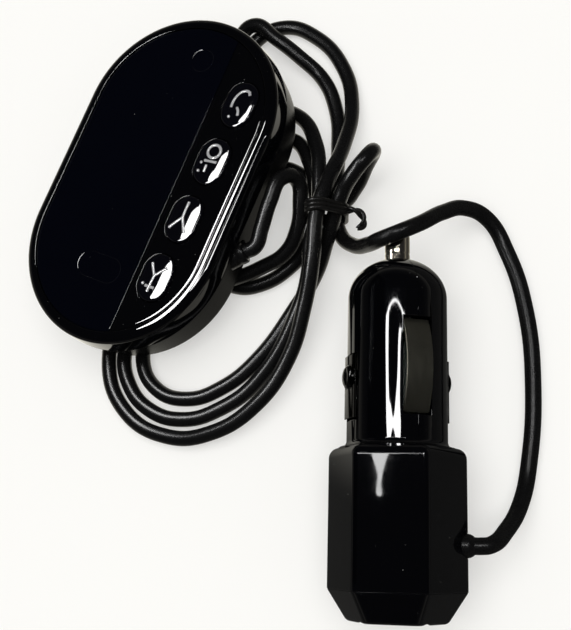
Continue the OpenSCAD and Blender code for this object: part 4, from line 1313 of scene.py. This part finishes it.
@dataclass
class Contacts:
    """The plug's contacts: sprung tip, two bowed leaves and two nubs on spring arms."""

    plug: Plug
    tip_r: float = 2.7
    tip_flange_r: float = 4.0
    tip_flange: Point2 = (70.8, 72.4)
    tip_groove: Point2 = (76.2, 76.75)
    tip_end: float = 81.3
    tip_round: float = 1.3
    coil_wire: float = 0.3
    coil_r: float = 3.0
    coil_turns: int = 5
    coil: Point2 = (60.65, 70.7)
    tip_travel: float = 2.5
    leaf_wid: float = 5.7
    leaf_half: float = 9.7
    leaf_crest: float = 11.5
    leaf_rise: float = 2.2
    leaf_thick: float = 0.5
    leaf_mid: float = 50.8
    bow_share: float = 0.96
    foot_r: float = 7.4
    nub_mid: float = 48.9
    nub_r: float = 2.8
    nub_top: float = 11.8
    nub_round: float = 1.2
    strip_top: float = 11.05
    strip_thick: float = 0.3
    strip_half: float = 2.85
    strip_len: float = 13.1
    strip_mid: float = 46.85
    arm_half: float = 2.0
    arm_start: float = 36.9
    arm_heights: Point2 = (6.7, 7.1)

    def tip(self) -> None:
        """The nickel tip with its flange, its groove and its rounded end."""
        low, high = self.tip_flange
        wide, r, groove_r = self.tip_flange_r, self.tip_r, self.tip_r - 0.08
        first, last = self.tip_groove
        curve = self.tip_end - self.tip_round
        outline = [(wide - 0.2, low), (wide, low + 0.2), (wide, high - 0.2), (wide - 0.2, high), (r, high),
                   (r, first), (groove_r, first + 0.15), (groove_r, last - 0.15), (r, last), (r, curve),
                   *arc((r - self.tip_round, curve), self.tip_round, 0, 80, 7)]
        tip = laid(hoop("tip", outline, sides=64), ALONG)
        settle(tip, self.plug.frame, NICKEL, "nickel", "tip", ["tip_contact"])

    def spring(self) -> None:
        """The coil behind the tip."""
        wire, turns = self.coil_wire, self.coil_turns
        low, high = self.coil
        deselect()
        bpy.ops.mesh.primitive_circle_add(vertices=10, radius=wire, fill_type="NOTHING")
        coil = bpy.context.object
        coil.name = "tip_coil"
        laid(coil, moved(self.coil_r, 0, low + wire) @ turned(90, "X"))
        modified(coil, "SCREW", axis="Z", angle=math.tau * turns, screw_offset=high - low - 2 * wire,
                 steps=24 * turns, render_steps=24 * turns, use_merge_vertices=False)
        with editing(coil):
            bpy.ops.mesh.select_all(action="SELECT")
            bpy.ops.mesh.fill_holes(sides=0)
            face_outwards()
        laid(coil, ALONG)
        settle(coil, self.plug.frame, STEEL, "steel", stands_for=["tip_spring"], smooth=60)
        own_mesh(coil)

    def leaves(self) -> None:
        """Two bowed leaves, brushed along, with their feet inside the slots' ends."""
        radius = (self.leaf_half ** 2 + self.leaf_rise ** 2) / (2 * self.leaf_rise)
        sweep = math.degrees(math.asin(self.leaf_half / radius)) * self.bow_share
        bow = arc((0.0, self.leaf_crest - radius), radius - self.leaf_thick, 90 + sweep, 90 - sweep, 28)
        first, last, foot = bow[0][0], bow[-1][0], self.foot_r
        path = [(first - 1.4, foot), (first - 0.25, foot), (first - 0.02, foot + 0.3), *bow,
                (last + 0.02, foot + 0.3), (last + 0.25, foot), (last + 0.4, foot)]
        for number, name in enumerate(("upper", "lower")):
            leaf = strip(f"leaf_{name}", self.leaf_wid, path, self.leaf_thick, 0.1)
            laid(leaf, self.plug.seam @ turned(180 * number, "Y") @ moved(0, self.leaf_mid))
            settle(leaf, self.plug.frame, SPRING_STEEL, "brushed_steel", f"{name}_leaf",
                   [f"leaf_spring_{name}"], smooth=50)

    def ground_contacts(self) -> None:
        """Two strips, each with a domed nub, carried by a spring arm that turns at its rear end."""
        sheet = self.strip_top - self.strip_thick
        curve = self.nub_r - 0.2 - self.nub_round
        nub_outline = [(1.6, 6.9), (1.6, sheet), (self.nub_r, sheet), (self.nub_r, self.strip_top),
                       *arc((curve, self.nub_top - self.nub_round), self.nub_round, 10, 80, 6),
                       (1.0, self.nub_top - 0.02), (0.4, self.nub_top)]
        bend = math.degrees(math.asin(self.strip_half / self.strip_top))
        face = arc((0, 0), sheet, 90 + bend, 90 - bend, 12)
        half, start, (low, high) = self.arm_half, self.arm_start, self.arm_heights
        knuckle_outline = [(0.5, -half), (0.6, 0.1 - half), (0.6, half - 0.1), (0.5, half)]
        for side, name in ((-1, "left"), (1, "right")):
            nub = laid(hoop(f"nub_{name}", nub_outline, sides=48), moved(0, self.nub_mid))
            plate = strip("plate", self.strip_len, face, self.strip_thick, 0.08)
            laid(plate, moved(0, self.strip_mid) @ turned(-90, "Z"))
            arm = soften(block("arm", (-half, start, low), (half, self.nub_mid + self.nub_r, high)), 0.1)
            knuckle = hoop("knuckle", knuckle_outline, sides=TINY_ROUND)
            laid(knuckle, moved(0, start, (low + high) / 2) @ ACROSS)
            join(nub, plate, arm, knuckle)
            laid(nub, self.plug.seam @ turned(90 * side, "Y"))
            # The nubs' nickel is darkened as painted shade, for the dark room that they mirror
            settle(nub, self.plug.frame, NICKEL_PAINTED_SHADE, "nickel_painted_shade", f"{name}_ground",
                   [f"ground_contact_{name}"])

    def build(self) -> None:
        """Builds and dresses every contact."""
        self.tip()
        self.spring()
        self.leaves()
        self.ground_contacts()


@dataclass
class Cord:
    """The cord from the pod to the plug, and the tie round its bundle."""

    pod: Pod
    plug: Plug
    diameter: float = 3.5
    length: float = 1048.0
    small_loop: tuple[Point3, ...] = (
        (6, 15.5, 15.6), (8, 21.5, 16.5), (10.4, 27, 15.8), (13, 27.6, 13), (13.6, 22.5, 10.5),
        (12.4, 17, 8), (9.5, 12.5, 6.2), (4, 9.5, 5.4), (-2, 7.2, 5.4), (-8, 6.5, 5.1),
        (-12, 11, 3.2), (-10.3, 20.5, 1.8), (-4.5, 33, 1.8), (3, 41, 1.8), (10, 41, 3.2),
        (14.5, 34.5, 5), (16, 27, 5.4), (16.6, 22, 5.3))
    stub: tuple[Point3, ...] = (
        (14.5, 16, 3.8), (10, 10.5, 1.8), (3.5, 6.5, 1.8), (-3, 6, 1.8), (-7.5, 9, 1.8),
        (-7.5, 14.5, 1.8), (-4, 23, 1.8), (0, 30.5, 1.8), (5.5, 34.5, 1.8), (11.5, 33, 1.8),
        (16.3, 27.2, 1.8), (21.5, 25.4, 1.8), (25, 28.5, 2.8), (28, 32.5, 6.4), (30.2, 34, 11),
        (29.2, 31, 15.6), (26, 27.5, 14.5), (23.3, 24.5, 11.5), (21.6, 21, 9.5))
    inner_turn: tuple[Point3, ...] = (
        (19, 14.5, 6.5), (16.5, 9, 3.2), (12.5, 2.5, 1.8), (2.5, -11.5, 1.8), (-5.5, -17.8, 1.8),
        (-13.5, -20.3, 1.8), (-21, -18, 1.8), (-24.8, -11, 1.8), (-22.5, -1.5, 1.8), (-15.7, 17, 1.8),
        (-7.8, 36, 1.8), (-2, 44.5, 1.8), (4.5, 49, 1.8), (11.5, 46.5, 4), (16.3, 38, 7),
        (17.4, 29.5, 8.6), (17.3, 21, 9))
    middle_turn: tuple[Point3, ...] = (
        (15.8, 13.5, 9), (15.3, 8, 7.4), (13, 0, 5.8), (3, -16.3, 2.4), (-5.7, -22.6, 1.8),
        (-14, -25, 1.8), (-22.3, -22.9, 1.8), (-28, -16.5, 1.8), (-29.3, -8.5, 1.8), (-23.8, 6.5, 1.8),
        (-14, 31.5, 1.8), (-7, 53, 1.8), (-3, 62, 1.8), (0, 68, 1.8), (7, 71, 1.8),
        (14.8, 67.8, 1.8), (21.5, 59.5, 1.8), (24, 49, 3), (22.8, 37.5, 7), (20, 27.5, 11.5),
        (17.9, 20, 12.9))
    outer_turn: tuple[Point3, ...] = (
        (17, 10, 11.9), (14.8, -0.5, 9), (10.8, -12, 6.3), (3.5, -22, 5), (-7, -28.2, 3.5),
        (-18, -28.9, 2.2), (-28.5, -23, 1.8), (-33.2, -11, 1.8), (-28, 8, 1.8), (-17.5, 35, 1.8),
        (-10.3, 54.5, 1.8), (-5.5, 64.2, 1.8), (-4, 68.2, 3.1), (0.3, 70.4, 5.3), (5.5, 66.6, 5.2),
        (11.2, 62, 3.8), (16.8, 56.5, 2.1), (20, 48.5, 1.8), (20.9, 38, 3), (20.9, 29.5, 5.2),
        (20.8, 22, 5.1))
    to_plug: tuple[Point3, ...] = (
        (22, 16.8, 4.2), (25.2, 13.6, 6.6), (29.2, 12.2, 11.6), (32.5, 12, 16), (36.2, 12.7, 17.9),
        (40.8, 15, 16.4), (45.5, 18.8, 11.8), (50, 21, 7.4), (54.8, 19.5, 3.6), (59, 12, 1.8),
        (62.6, -1, 1.8), (63.8, -17.5, 1.8), (62.5, -34.5, 1.8), (60.6, -42.8, 4.2),
        (57.5, -48.6, 8.6))
    tie_strands: tuple[Point2, ...] = ((16.6, 5.3), (17.2, 9), (18, 12.8), (20.8, 5), (21.5, 9.4))
    tie_from: float = 19.6
    tie_to: float = 22.4
    tail: tuple[Point3, ...] = (
        (23.9, 20.9, 9.4), (25.4, 20.9, 10), (26.9, 20.3, 9.9), (27.8, 19, 9.2), (27.6, 17.6, 8.6),
        (26.4, 16.9, 8.6))
    tie_r: Point2 = (2.1, 3.0)
    tie_groove: Point2 = (0.32, 0.08)
    tie_turns: int = 3
    nozzle_run: float = 2.5
    gland_runs: tuple[Point3, ...] = ((3.2, 0.3, -0.5), (1.0, 0.0, 0.0), (0.0, 0.0, 0.0))
    floor_gap: float = 0.02
    strand_r: float = 0.47
    strand_out: float = 0.42
    strand_turn: float = 0.15
    strand_steps: int = 10

    def route(self) -> list[Vector]:
        """Every point of the cord's route, in millimetres, from the pod to the plug.

        Returns:
            The points.
        """
        heading = turned(self.pod.nozzle_turn, "Z") @ Vector((self.nozzle_run, 0, 0))
        start = Vector(self.pod.nozzle_end)
        first = [self.pod.frame @ start, self.pod.frame @ (start + heading)]
        x, y, z = self.plug.place
        end = Vector((x + self.plug.gland_end, y + self.plug.gland_y, z))
        last = [end + Vector(run) for run in self.gland_runs]
        turns = (self.small_loop + self.stub + self.inner_turn + self.middle_turn + self.outer_turn
                 + self.to_plug)
        return [*first, *map(Vector, turns), *last]

    def cord(self) -> Piece:
        """The cord itself, one smooth curve along its route that stays above the floor.

        Returns:
            The cord.
        """
        piece = curved("cord_run", dimensions="3D", bevel_depth=self.diameter / 2 * MM, bevel_resolution=6,
                       resolution_u=12, use_fill_caps=True)
        line = run_through(piece, [point * MM for point in self.route()])
        bpy.context.view_layer.update()
        lowest = (self.diameter / 2 + self.floor_gap) * MM
        for knot in line.bezier_points:
            left, right = knot.handle_left.copy(), knot.handle_right.copy()
            if min(left.z, right.z) < lowest:
                knot.handle_left_type = knot.handle_right_type = "FREE"
                knot.handle_left = (left.x, left.y, knot.co.z)
                knot.handle_right = (right.x, right.y, knot.co.z)
        return dress(piece, CORD_RUBBER, "cord_rubber", stands_for=["cord"])

    def tie_band(self) -> Piece:
        """The tie's band, wound three times round the five strands.

        Returns:
            The band.
        """
        ends = tuple((x, -z) for x, z in self.tie_strands)
        pitch = (self.tie_to - self.tie_from) / self.tie_turns
        inner, outer = self.tie_r
        groove, shoulder = self.tie_groove
        outline = [(inner, self.tie_from)]
        for number in range(self.tie_turns):
            low = self.tie_from + number * pitch
            outline += [(outer - groove, low), (outer - shoulder, low + pitch * 0.2),
                        (outer, low + pitch * 0.5), (outer - shoulder, low + pitch * 0.8)]
        outline += [(outer - groove, self.tie_to), (inner, self.tie_to), (inner, self.tie_from)]
        piece = laid(hoop("tie_wrap", outline, ends, FINE_ROUND, solid=False), ALONG)
        return settle(piece, Matrix.Identity(4), TIE_BLACK, "tie_black", stands_for=["tie_band"], smooth=50)

    def rounded(self, route: Sequence[Vector]) -> list[Vector]:
        """Fine points of a smooth line through a few.

        Args:
            route: The few points.

        Returns:
            The fine points, from the first to the last of the few.
        """
        fine: list[Vector] = []
        for i, (a, b) in enumerate(zip(route, route[1:])):
            before, after = route[max(i - 1, 0)], route[min(i + 2, len(route) - 1)]
            for t in (k / self.strand_steps for k in range(self.strand_steps)):
                fine.append(0.5 * (2 * a + (b - before) * t + (2 * before - 5 * a + 4 * b - after) * t * t
                                   + (3 * a - before - 3 * b + after) * t ** 3))
        return [*fine, route[-1]]

    def tie_tail(self) -> Piece:
        """The tie's end: two strands wound round each other and curled back to the bundle.

        Returns:
            The tie's end.
        """
        fine = self.rounded([Vector(point) for point in self.tail])
        strands = []
        for start in (0.0, math.pi):
            points = []
            for i, point in enumerate(fine):
                ahead = (fine[min(i + 1, len(fine) - 1)] - fine[max(i - 1, 0)]).normalized()
                side = ahead.cross(Vector((0.2, 0.1, 1))).normalized()
                turn = start + i * self.strand_turn
                out = math.cos(turn) * side + math.sin(turn) * ahead.cross(side)
                points.append(tuple(point + self.strand_out * out))
            strands.append(stroke("strand", points, self.strand_r))
        tail = join(*strands)
        tail.name = "tie_end"
        return settle(tail, Matrix.Identity(4), TIE_BLACK, "tie_black", stands_for=["tie_tail"], smooth=60)

    def build(self, gland: Piece) -> None:
        """Args:
            gland: The plug's gland, which the cord ends in. It is not used.
        """
        cord = self.cord()
        pieces = [self.tie_band(), self.tie_tail(), gland]


@dataclass(frozen=True)
class Insides:
    """Finishes of the nodes that stay as they are, inside the pod and the plug."""

    looks: tuple[tuple[Finish, str, tuple[str, ...]], ...] = (
        (BOARD_GREEN, "board_green", ("pod_circuit_board", "power_board")),
        (DARK_GLASS, "dark_glass", ("display_glass",)),
        (WHITE_NYLON, "white_nylon", ("display_backlight", "pod_connector", "usb_tongue_upper",
                                      "usb_tongue_lower")),
        (TIN, "tin", ("radio_shield", "microphone", "switch_call", "switch_source", "switch_forward",
                      "switch_back")),
        (CHIP_BLACK, "chip_black", ("control_chip", "regulator_chip", "power_inductor", "plunger_call",
                                    "plunger_source", "plunger_forward", "plunger_back")),
        (RED_WIRE, "red_wire", ("pod_leads", "plug_leads")),
        (CAN_BLUE, "capacitor_blue", ("input_capacitor", "output_capacitor")),
        (BRASS, "brass", ("spring_seat",)),
    )

    def build(self) -> None:
        """Gives each of the nodes its material."""
        for finish, look, names in self.looks:
            for name in names:
                node = frame["nodes"][name]
                node.data.materials.clear()
                node.data.materials.append(finish.material(look))
                LOG.info("%s keeps its shape, finish %s", name, look)


@dataclass
class Studio:
    """The pale floor, the soft light, and the camera where the photograph was taken."""

    camera_at: Point3 = (58.26, -52.99, 230.0)
    looks_at: Point3 = (8.6, -0.6, 0.0)
    upward: Point3 = (0.0211, 0.9758, 0.2177)
    lens: float = 59.64
    floor_size: float = 6.0
    cream: Colour = (0.93, 0.925, 0.90)
    near_gloss: Colour = (1.15, 1.11, 0.98)
    far_gloss: Colour = (0.055, 0.054, 0.05)
    near_middle: Point3 = (-0.03, 0.045, 0.0)
    near_reach: tuple[float, float] = (0.06, 0.092)
    soft_power: float = 9.0
    cards: tuple[tuple[str, float, float, tuple[tuple[Point2, ...], ...]], ...] = (
        ("lamp_loop", 0.7, 40, (
            ((-0.17, 0.051), (-0.20, 0.10), (-0.21, 0.148), (-0.17, 0.156), (-0.07, 0.160), (0.07, 0.1615),
             (0.20, 0.160), (0.32, 0.156), (0.36, 0.149), (0.29, 0.141), (0.20, 0.13), (0.185, 0.10),
             (0.18, 0.075), (0.20, 0.052), (0.0, 0.050)),
            ((-0.12, 0.087), (-0.125, 0.148), (-0.09, 0.1545), (0.0, 0.1575), (0.07, 0.1585), (0.16, 0.1575),
             (0.24, 0.154), (0.27, 0.148), (0.22, 0.141), (0.145, 0.13), (0.12, 0.10), (0.08, 0.078),
             (0.01, 0.059), (-0.06, 0.070)))),
        ("lamp_wedge", 0.7, 20, (
            ((-0.056, 0.037), (-0.043, 0.038), (-0.029, 0.037), (-0.040, 0.028), (-0.0445, 0.018),
             (-0.048, 0.004), (-0.0495, -0.008), (-0.052, 0.010)),)),
        ("key_card", 0.067, 60, (
            ((-0.0088, 0.0605), (-0.0140, 0.0550), (-0.0200, 0.0489), (-0.0295, 0.0387), (-0.0358, 0.0261),
             (-0.0399, 0.0159), (-0.0472, 0.0048), (-0.0517, -0.0009), (-0.0442, -0.0052),
             (-0.0350, -0.0068), (-0.0185, 0.0340), (-0.0129, 0.0468), (-0.0086, 0.0559),
             (-0.0061, 0.0614)),)),
    )
    floor_seen: Colour = (1.0, 0.995, 0.975)
    floor_seen_share: float = 0.45
    floor_gloss_share: float = 0.97
    soft_height: float = 1.0
    soft_width: float = 1.2
    dull_light: Colour = (0.38, 0.375, 0.36)
    horizon: Colour = (0.3, 0.29, 0.26)
    low_sky: Colour = (0.06, 0.058, 0.055)
    low_sky_at: float = 0.2
    sky: Colour = (0.02, 0.02, 0.022)
    sky_at: float = 0.42
    flag_box: tuple[Point3, Point3] = ((0.0200, -0.060, 0.027), (0.0203, 0.025, 0.054))

    def camera(self) -> None:
        """The camera, at the photograph's viewpoint."""
        deselect()
        bpy.ops.object.camera_add()
        camera = bpy.context.object
        camera.name = "photo_view"
        out = (Vector(self.camera_at) - Vector(self.looks_at)).normalized()
        right = Vector(self.upward).cross(out).normalized()
        turn = Matrix((right, out.cross(right), out)).transposed().to_4x4()
        camera.matrix_world = Matrix.Translation(Vector(self.camera_at) * MM) @ turn
        camera.data.lens = self.lens
        camera.data.sensor_width = 36
        camera.data.clip_start = 0.01
        bpy.context.scene.camera = camera

    def floor(self) -> None:
        """The floor, pale and with the object's shadow on it, but darker far off in the gloss."""
        deselect()
        bpy.ops.mesh.primitive_plane_add(size=self.floor_size)
        floor = bpy.context.object
        floor.name = "floor"
        made = bpy.data.materials.new("pale_floor")
        nodes = Nodes(made)
        nodes.tree.nodes.remove(nodes.tree.nodes["Principled BSDF"])
        rays = nodes.add("LightPath", {}).outputs
        place = nodes.add("TexCoord", {}).outputs["Object"]
        away = nodes.add("VectorMath", {0: place, 1: self.near_middle}, operation="DISTANCE")
        low, high = self.near_reach
        fall = nodes.add("MapRange", {"Value": away.outputs["Value"], "From Min": low, "From Max": high},
                         interpolation_type="SMOOTHSTEP")
        mirrored = nodes.mixed(fall.outputs["Result"], self.near_gloss, self.far_gloss)
        tone = nodes.mixed(rays["Is Camera Ray"], mirrored, self.floor_seen)
        seen = nodes.sum("MULTIPLY", rays["Is Camera Ray"], self.floor_seen_share)
        gloss = nodes.sum("MAXIMUM", rays["Is Glossy Ray"], rays["Is Transmission Ray"])
        share = nodes.sum("MULTIPLY_ADD", gloss, self.floor_gloss_share, seen)
        plain = nodes.add("BsdfDiffuse", {"Color": (*self.cream, 1)}).outputs[0]
        glow = nodes.add("Emission", {"Color": tone}).outputs[0]
        mix = nodes.add("MixShader", {"Fac": share, 1: plain, 2: glow}).outputs[0]
        nodes.fill(nodes.tree.nodes["Material Output"], {"Surface": mix})
        floor.data.materials.append(made)

    def world(self) -> None:
        """The surroundings: white to the camera, and in the gloss dark but for a dim low band."""
        world = bpy.data.worlds.new("studio")
        nodes = Nodes(world)
        place = nodes.add("TexCoord", {}).outputs["Generated"]
        height = nodes.add("SeparateXYZ", {"Vector": place}).outputs["Z"]
        ramp = nodes.add("ValToRGB", {"Fac": height})
        stops = ramp.color_ramp.elements
        stops[0].position, stops[0].color = 0.0, (*self.horizon, 1)
        stops[1].position, stops[1].color = self.sky_at, (*self.sky, 1)
        low = stops.new(self.low_sky_at)
        low.color = (*self.low_sky, 1)
        rays = nodes.add("LightPath", {}).outputs
        light = nodes.mixed(rays["Is Glossy Ray"], self.dull_light, ramp.outputs["Color"])
        seen = nodes.sum("MAXIMUM", rays["Is Camera Ray"], rays["Is Transmission Ray"])
        nodes.fill(nodes.tree.nodes["Background"], {"Color": nodes.mixed(seen, light, (1, 1, 1))})
        bpy.context.scene.world = world

    def lamps(self) -> None:
        """A wide soft lamp overhead, the bright cards that the gloss mirrors, and a flag."""
        deselect()
        bpy.ops.object.light_add(type="AREA", location=(0.0, 0.0, self.soft_height))
        soft = bpy.context.object
        soft.name = "soft_lamp"
        soft.data.shape = "DISK"
        soft.data.size = self.soft_width
        soft.data.energy = self.soft_power
        soft.visible_glossy = False
        for name, height, strength, lines in self.cards:
            self.card(name, height, strength, lines)
        self.flag()

    def flag(self) -> None:
        """A black flag between the key card and the plug, which only gloss sees."""
        flag = block("flag", *self.flag_box)
        made = bpy.data.materials.new("flag_black")
        nodes = Nodes(made)
        nodes.fill(nodes.tree.nodes["Principled BSDF"],
                   {"Base Color": (0, 0, 0, 1), "Specular IOR Level": 0.0})
        self.seen_by_gloss(flag, made)
        flag.visible_transmission = False

    def seen_by_gloss(self, piece: Piece, made: bpy.types.Material) -> None:
        """Gives a piece of the stage its material and hides it from the camera and from soft light.

        Args:
            piece: The piece.
            made: Its material.
        """
        piece.data.materials.append(made)
        piece.visible_camera = piece.visible_diffuse = piece.visible_shadow = False

    def card(self, name: str, height: float, strength: float, lines: Sequence[Sequence[Point2]]) -> None:
        """A bright card that only gloss mirrors, with smooth outlines.

        Args:
            name: Name of the card.
            height: Its height over the floor, in metres.
            strength: How bright it is.
            lines: Its outer outline, and the outline of its hole where it has one.
        """
        lamp = curved(name, dimensions="2D", fill_mode="BOTH")
        for line in lines:
            run_through(lamp, [(x, y, 0) for x, y in line], closed=True)
        lamp = made_mesh(lamp)
        lamp.location.z = height
        made = bpy.data.materials.new(name)
        nodes = Nodes(made)
        glow = nodes.add("Emission", {"Strength": strength}).outputs[0]
        nodes.fill(nodes.tree.nodes["Material Output"], {"Surface": glow})
        self.seen_by_gloss(lamp, made)

    def build(self) -> None:
        """Sets up the camera, the floor, the surroundings and the lamps."""
        self.camera()
        self.floor()
        self.world()
        self.lamps()
        bpy.context.scene.view_settings.view_transform = "Standard"


def main() -> None:
    """Builds the studio and every sub-assembly."""
    logging.basicConfig(level=logging.INFO, format="%(message)s")
    studio = Studio()
    studio.build()
    pod = Pod()
    plug = Plug()
    gland = plug.gland()
    Cord(pod, plug).build(gland)
    pod.build()
    plug.build()
    Contacts(plug).build()
    Insides().build()


if __name__ == "__main__":
    main()
